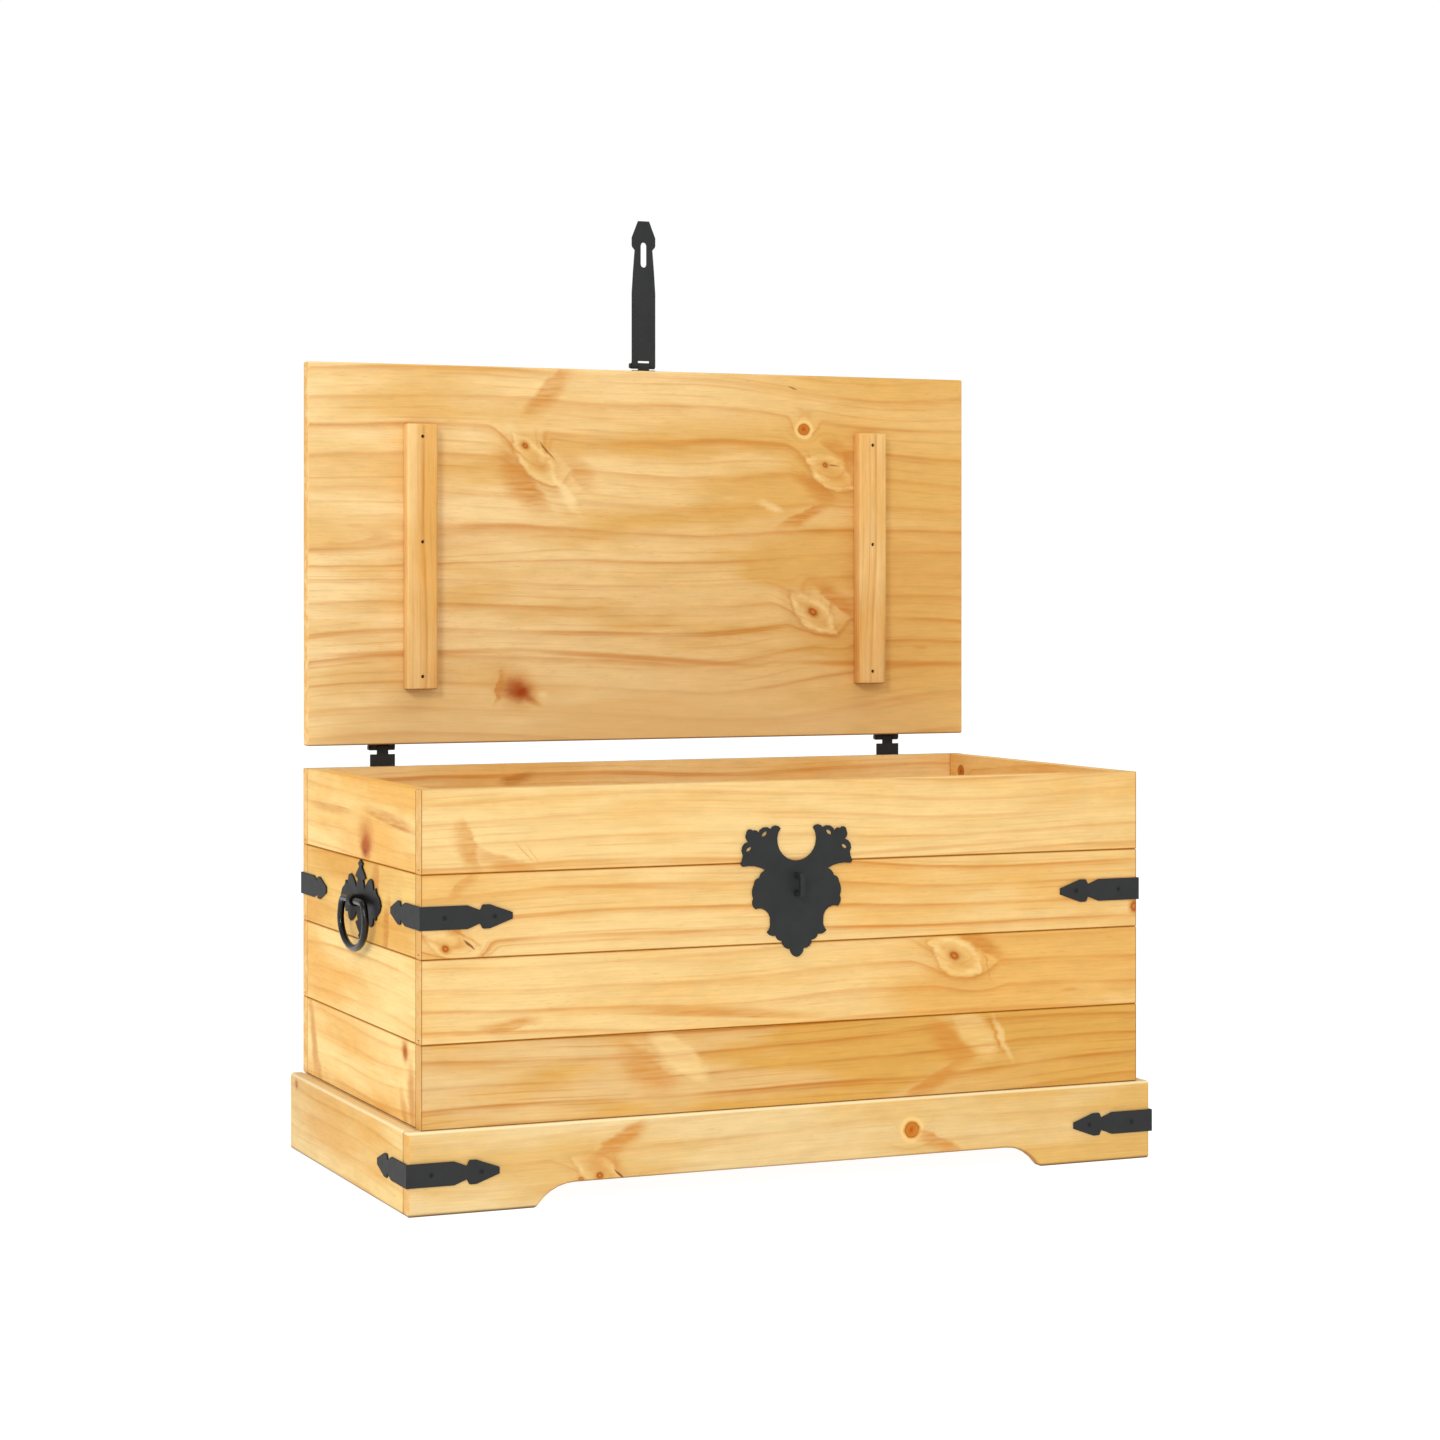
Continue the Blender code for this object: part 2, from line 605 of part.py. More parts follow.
def slot_outline(length, width, steps):
    """A slot along X with round ends, centred on the origin."""
    reach = (length - width) / 2
    half = width / 2
    right = [(reach + half * math.sin(math.pi * n / steps), half * math.cos(math.pi * n / steps))
             for n in range(steps + 1)]
    left = [(-x, -y) for x, y in right]
    return right + left


def add_hasp():
    """The hasp's plate on the lid, its strap in line with the lid, and their pin."""
    half = HASP_WIDTH / 2
    tab = HASP_TAB_WIDTH / 2
    plate_z = LEAF_BOTTOM + METAL_THICKNESS / 2
    fork = tab + KNUCKLE_SIDE_GAP
    name = "hasp_plate"
    tab_end = HASP_PIN_REACH - LID_EASE
    outline = [(0, tab), (tab_end, tab), (tab_end, half)]
    for along, across in hasp_plate_outline_shares:
        outline.append((tab_end + along * HASP_PLATE_LENGTH, across * HASP_WIDTH))
    outline += [(x, -y) for x, y in reversed(outline)]
    mesh = plate_mesh(name, [outline], METAL_THICKNESS)
    plate = add_piece(name, mesh, iron, lid_empty, placed((0, HASP_PIN_Y, plate_z), (0, 1, 0), (-1, 0, 0)))
    knuckle(plate, name + "_knuckle", -tab, tab, HASP_PIN_Y, lid_empty)
    bore(plate, name + "_bore", tab, 0, HASP_PIN_Y, lid_empty)
    name = "hasp_strap"
    outline = leaf_with_notch(hasp_outline_shares, HASP_LENGTH, HASP_WIDTH, 2 * fork, HASP_WINDOW_EDGE)
    round_ends = slot_outline(HASP_SLOT_LENGTH, HASP_SLOT_WIDTH, LOBE_STEPS)
    slot = [(x + HASP_SLOT_PLACE, y) for x, y in round_ends]
    mesh = plate_mesh(name, [outline, slot], METAL_THICKNESS)
    strap = add_piece(name, mesh, iron, hasp_empty, placed((0, HASP_PIN_Y, plate_z), (0, -1, 0), (1, 0, 0)))
    knuckle(strap, name + "_knuckle_a", -half, -fork, HASP_PIN_Y, hasp_empty)
    knuckle(strap, name + "_knuckle_b", fork, half, HASP_PIN_Y, hasp_empty)
    bore(strap, name + "_bore", half, 0, HASP_PIN_Y, hasp_empty)
    add_pin("hasp_pin", half, 0, HASP_PIN_Y, lid_empty)


def lock_outline():
    """The lock plate's outline: the scalloped half, mirrored, with the round cut-out on top."""
    width, height = LOCK_PLATE_HALF_WIDTH, LOCK_PLATE_HEIGHT
    corners = [(x * width, y * height, rise) for x, y, rise in lock_outline_shares]
    right = curved_outline(corners, LOBE_STEPS)
    radius = LOCK_CUTOUT_RADIUS
    centre_y = height - LOCK_CUTOUT_DEPTH + radius
    tip_x, tip_y = right[-1]
    start = math.atan2(tip_y - centre_y, tip_x)
    steps = 2 * LOBE_STEPS
    for n in range(1, steps):
        angle = start + (-math.pi / 2 - start) * n / steps
        right.append((radius * math.cos(angle), centre_y + radius * math.sin(angle)))
    bottom = (0, centre_y - radius)
    left = [(-x, y) for x, y in reversed(right[1:])]
    return right + [bottom] + left


def lock_pierced_loops():
    """The almond-shaped holes of both wings, as thin lenses between two points."""
    loops = []
    for start_shares, end_shares in lock_pierced_shares:
        for sign in (1, -1):
            start, end = [(sign * x * LOCK_PLATE_HALF_WIDTH, y * LOCK_PLATE_HEIGHT)
                          for x, y in (start_shares, end_shares)]
            there = arc(start, end, pierced_bulge_share, LOBE_STEPS)
            back = arc(end, start, pierced_bulge_share, LOBE_STEPS)
            loops.append(there + back)
    return loops


def staple_outline():
    """The staple's loop: X is the reach in front of the plate, Y up, with its legs at -X."""
    back = -(METAL_THICKNESS + GAP + STAPLE_LEG_DEPTH)
    half = STAPLE_HEIGHT / 2
    inner = half - STAPLE_BAR
    front = STAPLE_REACH
    upper = [(front, half - STAPLE_CORNER), (front - STAPLE_CORNER, half), (back, half),
             (back, inner), (front - STAPLE_BAR, inner)]
    lower = [(x, -y) for x, y in reversed(upper)]
    return upper + lower


def add_lock():
    """The lock plate on the front boards, and the staple, whose legs go through it."""
    centre_y = LOCK_FACE + METAL_THICKNESS / 2
    loops = [lock_outline()] + lock_pierced_loops()
    mesh = plate_mesh("lock_plate", loops, METAL_THICKNESS)
    plate = add_piece("lock_plate", mesh, iron, placement=placed((0, centre_y, LOCK_PLATE_TIP), (1, 0, 0)))
    mesh = plate_mesh("staple", [staple_outline()], STAPLE_BAR)
    add_piece("staple", mesh, iron, placement=placed((0, LOCK_FACE, STAPLE_Z), (0, -1, 0)))
    half = STAPLE_BAR / 2 + GAP
    depth = BODY_FRONT + STAPLE_LEG_DEPTH + GAP
    row = int((STAPLE_Z - PLINTH_HEIGHT) / BOARD_PITCH) + 1
    for name, sign in (("upper", 1), ("lower", -1)):
        z = STAPLE_Z + sign * (STAPLE_HEIGHT - STAPLE_BAR) / 2
        low = (-half, LOCK_FACE - OVERRUN, z - half)
        mesh = box_mesh(f"staple_{name}_hole", low, (half, depth, z + half))
        cutter = add_cutter(f"staple_{name}_hole", mesh)
        combine(plate, cutter, "DIFFERENCE")
        combine(boards[f"front_board_{row}"], cutter, "DIFFERENCE")


def add_strap(name, sign_x, sign_y, half_width, front_or_back, z):
    """A strap bent round one corner, with its back against both faces."""
    corner_x = sign_x * (half_width + GAP + METAL_THICKNESS)
    corner_y = front_or_back + sign_y * (GAP + METAL_THICKNESS)
    outline = arrow_outline(strap_outline_shares, STRAP_ARM, STRAP_HEIGHT)
    half = METAL_THICKNESS / 2
    mesh = plate_mesh(name, [outline], METAL_THICKNESS)
    place = placed((corner_x, corner_y - sign_y * half, z), (-sign_x, 0, 0))
    strap = add_piece(name, mesh, iron, placement=place)
    side_outline = arrow_outline(strap_outline_shares, STRAP_ARM, STRAP_HEIGHT)
    side = plate_mesh(name + "_side_arm", [side_outline], METAL_THICKNESS)
    place = placed((corner_x - sign_x * half, corner_y, z), (0, -sign_y, 0))
    combine(strap, add_cutter(name + "_side_arm", side, placement=place), "UNION")


def add_straps():
    """Four straps on the body's corners and two on the plinth's front corners."""
    z = BODY_TOP - STRAP_DROP
    for side, sign_x in (("left", -1), ("right", 1)):
        add_strap(f"strap_front_{side}", sign_x, -1, BODY_HALF_WIDTH, BODY_FRONT, z)
        add_strap(f"strap_back_{side}", sign_x, 1, BODY_HALF_WIDTH, BODY_BACK, z)
        add_strap(f"strap_plinth_{side}", sign_x, -1, PLINTH_HALF_WIDTH, PLINTH_FRONT, PLINTH_STRAP_RISE)


def handle_outline():
    """The handle plate's whole outline, from one quarter mirrored both ways."""
    width, height = HANDLE_HALF_WIDTH, HANDLE_HALF_HEIGHT
    corners = [(x * width, y * height, rise) for x, y, rise in handle_outline_shares]
    quarter = curved_outline(corners, HANDLE_STEPS)
    right = quarter + [(x, -y) for x, y in reversed(quarter)]
    left = [(-x, y) for x, y in reversed(right[1:-1])]
    return right + left


def clip_outline():
    """The clip's section: X outwards from the plate's face, Y up, round its outer end."""
    radius = BAIL_RADIUS + BAIL_CLEARANCE + CLIP_WALL
    outline = [(-CLIP_SINK, radius), (-CLIP_SINK, -radius)]
    for n in range(ROUND_SIDES // 2 + 1):
        angle = math.pi * (2 * n / ROUND_SIDES - 1 / 2)
        outline.append((BAIL_STANDOFF + radius * math.cos(angle), radius * math.sin(angle)))
    return outline


def clip_bore():
    """The clip's hole for the bail's top bar."""
    radius = BAIL_RADIUS + BAIL_CLEARANCE
    return [(BAIL_STANDOFF + radius * math.cos(2 * math.pi * n / ROUND_SIDES),
             radius * math.sin(2 * math.pi * n / ROUND_SIDES)) for n in range(ROUND_SIDES)]


def bail_path():
    """The bail's centre line: a straight top bar, round shoulders and an oval foot."""
    half = [(x * BAIL_HALF_WIDTH, -y * BAIL_DROP) for x, y in bail_top_shares]
    widest = -bail_widest_share * BAIL_DROP
    for n in range(BAIL_TURNS + 1):
        angle = math.pi / 2 * n / BAIL_TURNS
        half.append((BAIL_HALF_WIDTH * math.cos(angle), widest - (BAIL_DROP + widest) * math.sin(angle)))
    return half + [(-x, y) for x, y in reversed(half[1:-1])]


def add_handle(side, sign_x):
    """One side handle: its plate with the clip, and the bail that swings in it."""
    outward = Vector((sign_x, 0, 0))
    along = Vector((0, 1, 0))
    plate_x = BODY_HALF_WIDTH + GAP + METAL_THICKNESS / 2
    middle = Vector((0, HANDLE_Y, HANDLE_Z))
    name = f"handle_plate_{side}"
    mesh = plate_mesh(name, [handle_outline()], METAL_THICKNESS)
    plate = add_piece(name, mesh, iron, placement=placed(middle + outward * plate_x, along))
    clip = plate_mesh(name + "_clip", [clip_outline(), clip_bore()], CLIP_WIDTH)
    face = BODY_HALF_WIDTH + GAP + METAL_THICKNESS
    place = placed(middle + outward * face, outward)
    combine(plate, add_cutter(name + "_clip", clip, placement=place), "UNION")
    name = f"handle_bail_{side}"
    empty = bail_empties[side]
    curve = bpy.data.curves.new(name, "CURVE")
    curve.dimensions = "3D"
    curve.bevel_depth = BAIL_RADIUS
    curve.bevel_resolution = 2
    path = bail_path()
    spline = curve.splines.new("POLY")
    spline.points.add(len(path) - 1)
    spline.use_cyclic_u = True
    for point, (y, z) in zip(spline.points, path):
        point.co = (0, y, z, 1)
    rough = bpy.data.objects.new(name, curve)
    bpy.context.scene.collection.objects.link(rough)
    bail = add_piece(name, mesh_of(rough), iron, empty, Matrix.Translation(middle + outward * BAIL_X))
    shade_round(bail)


clear_scene()
parts = new_collection("storage_chest")
cutters = new_collection("cutters")
pine = new_material("pine", (0.78, 0.50, 0.23), 0.4, 0)
pine_pale = new_material("pine_pale", (0.80, 0.58, 0.33), 0.6, 0)
iron = new_material("iron", (0.035, 0.037, 0.04), 0.45, 1)

boards = {}
modelled_pose = {}
lid_empty = add_joint_empty("lid_hinge", (0, PIN_Y, PIN_Z))
hasp_empty = add_joint_empty("hasp_hinge", (0, HASP_PIN_Y, PIN_Z), lid_empty)
bail_empties = {
    "left": add_joint_empty("bail_hinge_left", (-BAIL_X, HANDLE_Y, HANDLE_Z)),
    "right": add_joint_empty("bail_hinge_right", (BAIL_X, HANDLE_Y, HANDLE_Z)),
}

add_plinth()
add_base()
add_walls()
add_battens(add_lid())
hinge_x = BODY_HALF_WIDTH - HINGE_SIDE_MARGIN
add_hinge("left", -hinge_x)
add_hinge("right", hinge_x)
add_hasp()
add_lock()
add_straps()
add_handle("left", -1)
add_handle("right", 1)

lid_empty.rotation_euler.x = -math.radians(LID_OPEN_DEGREES)
bpy.context.view_layer.update()
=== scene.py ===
"""Looks of a pine storage chest with black iron fittings, standing with its lid open."""
import json
import math
from functools import partial

import bmesh
import bpy
from mathutils import Matrix, Vector

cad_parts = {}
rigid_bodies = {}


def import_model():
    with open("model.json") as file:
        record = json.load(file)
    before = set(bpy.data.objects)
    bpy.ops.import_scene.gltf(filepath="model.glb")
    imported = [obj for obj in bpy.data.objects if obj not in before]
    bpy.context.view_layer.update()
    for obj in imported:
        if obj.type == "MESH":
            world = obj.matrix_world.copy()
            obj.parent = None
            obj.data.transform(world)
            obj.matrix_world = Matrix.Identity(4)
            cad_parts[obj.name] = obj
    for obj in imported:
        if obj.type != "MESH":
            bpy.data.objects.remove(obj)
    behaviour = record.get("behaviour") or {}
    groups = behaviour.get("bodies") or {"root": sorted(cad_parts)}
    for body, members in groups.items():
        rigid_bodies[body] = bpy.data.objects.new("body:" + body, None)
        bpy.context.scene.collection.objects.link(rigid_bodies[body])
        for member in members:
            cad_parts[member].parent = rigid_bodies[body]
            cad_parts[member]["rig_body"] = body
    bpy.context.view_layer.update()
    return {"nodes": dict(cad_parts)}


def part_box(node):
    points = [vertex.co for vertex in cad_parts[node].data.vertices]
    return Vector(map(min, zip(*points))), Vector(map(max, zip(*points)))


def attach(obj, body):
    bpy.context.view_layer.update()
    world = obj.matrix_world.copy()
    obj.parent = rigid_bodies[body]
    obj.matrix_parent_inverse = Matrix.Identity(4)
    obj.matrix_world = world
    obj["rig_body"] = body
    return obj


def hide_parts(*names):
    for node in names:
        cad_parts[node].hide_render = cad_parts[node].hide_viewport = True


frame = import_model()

nodes = frame["nodes"]
scene = bpy.context.scene


# ---------------------------------------------------------------- colours and nodes

def linear(hex_colour):
    """An sRGB hex colour as the linear values that a shader takes."""
    shares = [int(hex_colour[n:n + 2], 16) / 255 for n in (1, 3, 5)]
    return [s / 12.92 if s <= 0.04045 else ((s + 0.055) / 1.055) ** 2.4 for s in shares] + [1]


def add(tree, kind, *values, stops=(), **named):
    """Adds a node. Plain values fill its shown inputs in order, a name in capitals is an
    input, any other name is a setting, and stops are the places and colours of a ramp."""
    node = tree.nodes.new("ShaderNode" + kind)
    for name, value in named.items():
        if name[0].islower():
            setattr(node, name, value)
    for number, (place, colour) in enumerate(stops):
        ramp = node.color_ramp.elements
        element = ramp[number] if number < len(ramp) else ramp.new(place)
        element.position = place
        element.color = linear(colour) if isinstance(colour, str) else (colour, colour, colour, 1)
    pairs = list(zip([socket for socket in node.inputs if socket.enabled], values))
    pairs += [(node.inputs[name.replace("_", " ")], value)
              for name, value in named.items() if name[0].isupper()]
    for socket, value in pairs:
        if isinstance(value, bpy.types.Node):
            value = next(output for output in value.outputs if output.enabled)
        if isinstance(value, bpy.types.NodeSocket):
            tree.links.new(value, socket)
        else:
            socket.default_value = linear(value) if isinstance(value, str) else value
    return node


def new_finish(name):
    """An empty material, and what adds nodes to it."""
    material = bpy.data.materials.new(name)
    material.use_nodes = True
    material.node_tree.nodes.clear()
    return material, partial(add, material.node_tree)


# ---------------------------------------------------------------- lacquered pine

# Which of a point's X, Y and Z lie along the grain, across it and through the board
ALONG_X = (0, 2, 1)
ALONG_Y = (1, 2, 0)
ALONG_Z = (2, 0, 1)
FLAT_X = (0, 1, 2)

# Tones: pale early wood, its warmer patches, and the late wood of each ring
FRONT_TONE = ("#ECCA8A", "#E1AE60", "#CC8230")
PLINTH_TONE = ("#E6CA94", "#DAAE64", "#C48236")
LOW_TONE = ("#E4C48E", "#D5A14F", "#BC7428")
# The back boards are painted lighter than the front's tone: painted light for the inside of the chest,
# which the lamps leave dim
BACK_TONE_WITH_PAINTED_LIGHT = ("#FAD896", "#EFBB68", "#D88B34")
SIDE_TONE = ("#FADA92", "#EDB258", "#DA9236")
WARM_SIDE_TONE = ("#EFC876", "#E1A64A", "#CE8832")
PLINTH_SIDE_TONE = ("#EED08E", "#E0AA58", "#CE8C38")
LID_TONE = ("#F4D69C", "#DCAC60", "#C67E2C")
BATTEN_TONE = ("#F0CA8A", "#DEA656", "#BE7828")
RAW_TONE = ("#E6BE85", "#D9A566", "#BB8246")

# Noises in the wood: length along the grain and width across it in metres, a shift that
# keeps each from following another, detail and roughness. Where one is mapped, the first two
# numbers are the part of its span that counts, and the next two are what that becomes
WANDER = (0.55, 0.22, 0.0, 1.0, 0.4)  # slow bends of the rings
RIPPLE = (0.070, 0.030, 3.1)  # small bends of the rings
TREMBLE = (0.034, 0.018, 5.9, 4.0, 0.62)  # ragged edges of knots and patches
FADING = (0.20, 0.035, 7.7)  # where the rings are strong and where they fade
HALF_SEEN = (0.12, 0.020, 13.1)  # where faint lines show between the rings
PATCHES = (0.26, 0.05, 11.3, 3.0)  # broad patches of warmer wood
FIBRE = (0.050, 0.0014, 17.9, 2.0, 0.6)  # 1.4 mm wide: the real 0.3 mm is too fine to show
CLOUDS = (0.030, 0.012, 29.1, 3.0, 0.6)  # faint mottling
DUCTS = (0.011, 0.0011, 23.3, 0.0)  # resin ducts, short thin dashes
STREAKS = (0.034, 0.0032, 31.7)  # lines of fibre inside a darker patch
BLOTCHES = (0.024, 0.010, 37.9, 4.0, 0.6)  # unevenness of knots and end grain

# Rings: how far apart through the board, how many the slow and the small bends cross, how
# strong the weakest is beside the strongest, and the faint lines to a ring with their strength
RING_DEPTH = 0.0055
RINGS_WANDERED = 3.0
RINGS_RIPPLED = 0.12
WEAKEST_RING = 0.40
FAINT_LINES = 2.6
FAINT_STRENGTH = 0.34
# One ring: slow darkening through the early wood, a thin dark line, and pale again
RING_PROFILE = ((0.0, 0.0), (0.45, 0.03), (0.70, 0.30), (0.80, 0.72), (0.85, 0.95), (0.89, 0.78),
                (0.94, 0.15), (1.0, 0.0))

# How far the ragged edges move a point. A mark longer than the long one follows the grain
# without shaking, and one shorter than the short one shakes only a little
SHAKE = (0.024, 0.016, 0.0)
LONG_MARK = 0.1
SHORT_MARK = 0.02
LITTLE = 0.35
THROUGH_THE_BOARD = 1000

# Knots that the rings flow round: how far off in half sizes of the knot, and by how many rings
KNOT_REACH = {"leaf": 2.0, "round": 4.0, "arch": 1.0}
KNOT_PULL = {"leaf": 1.1, "round": 0.8, "arch": 1.1}

# Stains, and the share of each that is at full strength
STAIN = {"pale": "#F8DCA0", "fleck": "#F6D896", "streak": "#CA8236", "red": "#A23C08", "rust": "#B2560A"}
STAIN_HEART = {"pale": 0.25, "fleck": 0.65, "streak": 0.25, "red": 0.25, "rust": 0.25}

TILTED_FIBRE = "#CA863A"
BARK = "#7C451A"
RESIN = "#C68642"
END_GRAIN = "#DEA552"
# Painted shade: dull brown on faces that look down
PAINTED_UNDERSIDE_SHADE = "#7A4A1C"
# A leaf-shaped knot: tan inside, a pale rim, thin rings, and a brown line beyond its rim
LEAF_TANS = ((0.0, "#CF9A54"), (0.35, "#DAA860"), (0.62, "#E9C27A"), (0.85, "#F4D492"), (1.0, "#F0CE8C"))
LEAF_RINGS = "#C88C42"
LEAF_RING_PITCH = 0.14
LEAF_BEYOND = ((0.0, 0.0), (0.40, 0.0), (0.46, 1.0), (0.56, 0.45), (1.0, 0.0))
LEAF_BROWN = "#BE7C36"
# A small slanting knot: a red-brown ring about an orange heart that melts into the wood
CORE_TANS = ((0.0, "#CE7C36"), (0.13, "#C46E2C"), (0.25, "#A2521C"), (0.36, "#BE7A38"),
             (0.50, "#CE9C54"), (1.0, "#D8A65E"))
# A live knot cut square: orange end grain inside a pale ring
ROUND_TANS = ((0.0, "#9A4410"), (0.08, "#B25A1A"), (0.20, "#C06E22"), (0.36, "#C6782A"),
              (0.42, "#A65C1E"), (0.50, "#D8A456"), (0.60, "#ECC680"), (1.0, "#E6BA70"))
# How many half sizes of its knot each of these runs over: the line beyond a leaf, and the
# colours of a small and of a square-cut knot
LEAF_SPREAD = 2.4
CORE_SPREAD = 2.0
ROUND_SPREAD = 2.2

# Roughness on early and on late wood, sprayed and bare. The lacquer's glare is matched to the
# real one, which hardly mirrors the soft light
SPRAYED = (0.46, 0.54)
BARE = (0.62, 0.70)
GLARE = 0.08
LACQUER_IOR = 1.45


def rings_and_marks(put, noise, lying, pitch, figure):
    """Counts the rings up to a point, and gives each mark of the board's figure as its kind,
    the point in half sizes of the mark, how far off the point is, and its strength."""
    # Rings a little apart through the board and a pitch apart on its face, wandering along it
    steps = put("VectorMath", lying, (0, 1 / pitch, 1 / RING_DEPTH), operation="DOT_PRODUCT")
    wander = noise(*WANDER)
    ripple = noise(*RIPPLE)
    count = put("Math", wander, RINGS_WANDERED, steps.outputs["Value"], operation="MULTIPLY_ADD")
    count = put("Math", ripple, RINGS_RIPPLED, count, operation="MULTIPLY_ADD")
    # A shaky copy of the point, so that knots and patches have natural edges
    tremble = noise(*TREMBLE).outputs["Color"]
    shake = put("VectorMath", tremble, SHAKE, lying, operation="MULTIPLY_ADD")
    shake = put("VectorMath", shake, tuple(reach / 2 for reach in SHAKE), operation="SUBTRACT")
    nudge = put("VectorMath", shake, lying, operation="SUBTRACT")
    calm = put("VectorMath", nudge, (LITTLE, LITTLE, 0), lying, operation="MULTIPLY_ADD")
    marks = []
    for kind, along, across, half_length, half_width, turn, strength in figure:
        place = {"Location": (along, across, 0), "Rotation": (0, 0, math.radians(turn)),
                 "Scale": (half_length, half_width, THROUGH_THE_BOARD), "vector_type": "TEXTURE"}
        ground = calm if half_length < SHORT_MARK else shake if half_length < LONG_MARK else lying
        inside = put("Mapping", ground, **place)
        reach = put("VectorMath", inside, operation="LENGTH").outputs["Value"]
        marks.append((kind, put("SeparateXYZ", inside).outputs, reach, strength))
        if kind in KNOT_REACH:
            # The rings flow round a knot, or make a tall arch where the board cuts them flat
            apart = put("VectorMath", put("Mapping", calm, **place), operation="LENGTH").outputs["Value"]
            pull = put("MapRange", apart, 0.0, KNOT_REACH[kind], KNOT_PULL[kind], 0.0,
                       interpolation_type="SMOOTHSTEP")
            count = put("Math", count, pull, operation="ADD")
    return count, marks


def late_wood(put, noise, count, rings):
    """How much of a point is late wood, from 0 to 1."""
    ring = put("ValToRGB", put("Math", count, operation="FRACT"), stops=RING_PROFILE)
    own = put("TexWhiteNoise", put("Math", count, operation="FLOOR"), noise_dimensions="1D")
    force = put("MapRange", own, 0.0, 1.0, WEAKEST_RING * rings, rings)
    fading = put("MapRange", noise(*FADING), 0.32, 0.62, 0.35, 1.0, interpolation_type="SMOOTHSTEP")
    late = put("Math", put("Math", ring, force, operation="MULTIPLY"), fading, operation="MULTIPLY")
    # Fainter lines between the strong ones
    between = put("Math", put("Math", count, FAINT_LINES, operation="MULTIPLY"), operation="FRACT")
    between = put("ValToRGB", between,
                  stops=((0.0, 0.0), (0.60, 0.0), (0.82, FAINT_STRENGTH * rings), (0.90, 0.0)))
    dim = put("MapRange", noise(*HALF_SEEN), 0.40, 0.65, 0.0, 1.0, interpolation_type="SMOOTHSTEP")
    return put("Math", between, dim, late, operation="MULTIPLY_ADD", use_clamp=True)


def clear_wood(put, noise, along, tone, late, ageing, marks):
    """The colour of the wood between its knots, and its fibre."""
    early, warm, dark = tone
    # Broad patches of warmer wood, which grow along the board by its ageing
    patch = put("MapRange", noise(*PATCHES), 0.36, 0.66, 0.0, 0.8, interpolation_type="SMOOTHSTEP")
    aged = put("MapRange", along, -0.44, 0.44, *ageing)
    warmth = put("Math", patch, aged, operation="ADD", use_clamp=True)
    for kind, _, reach, strength in marks:
        if kind == "fresh":
            keep = put("MapRange", reach, 0.25, 1.2, 1.0 - strength, 1.0, interpolation_type="SMOOTHSTEP")
            warmth = put("Math", warmth, keep, operation="MULTIPLY")
    colour = put("Mix", warmth, early, warm, data_type="RGBA")
    colour = put("Mix", late, colour, dark, data_type="RGBA")
    fibre = noise(*FIBRE)
    fine = put("MapRange", fibre, 0.3, 0.7, 0.93, 1.05)
    cloudy = put("MapRange", noise(*CLOUDS), 0.3, 0.7, 0.95, 1.04)
    colour = put("VectorMath", colour, put("Math", fine, cloudy, operation="MULTIPLY"), operation="SCALE")
    dashes = put("MapRange", noise(*DUCTS), 0.70, 0.80, 0.0, 0.25)
    return put("Mix", dashes, colour, RESIN, data_type="RGBA"), fibre


def leaf_knot(put, colour, lens, across, reach, strength, uneven):
    """The colour with a knot that was cut at a slant, brown beyond one edge of its pale rim."""
    beyond = put("ValToRGB", put("Math", lens, LEAF_SPREAD, operation="DIVIDE"), stops=LEAF_BEYOND)
    lower = put("MapRange", across, -0.3, 0.5, 0.60 * strength, 0.15 * strength,
                interpolation_type="SMOOTHSTEP")
    beyond = put("Math", beyond, lower, operation="MULTIPLY")
    colour = put("Mix", beyond, colour, LEAF_BROWN, data_type="RGBA")
    inner = put("ValToRGB", lens, stops=LEAF_TANS)
    within = put("MapRange", lens, 0.80, 1.10, strength, 0.0, interpolation_type="SMOOTHSTEP")
    within = put("Math", within, uneven, operation="MULTIPLY")
    colour = put("Mix", within, colour, inner, data_type="RGBA")
    rings = put("MapRange", put("Math", reach, LEAF_RING_PITCH, operation="PINGPONG"),
                0.0, LEAF_RING_PITCH, 0.24, 0.0)
    rings = put("Math", rings, within, operation="MULTIPLY")
    return put("Mix", rings, colour, LEAF_RINGS, data_type="RGBA")


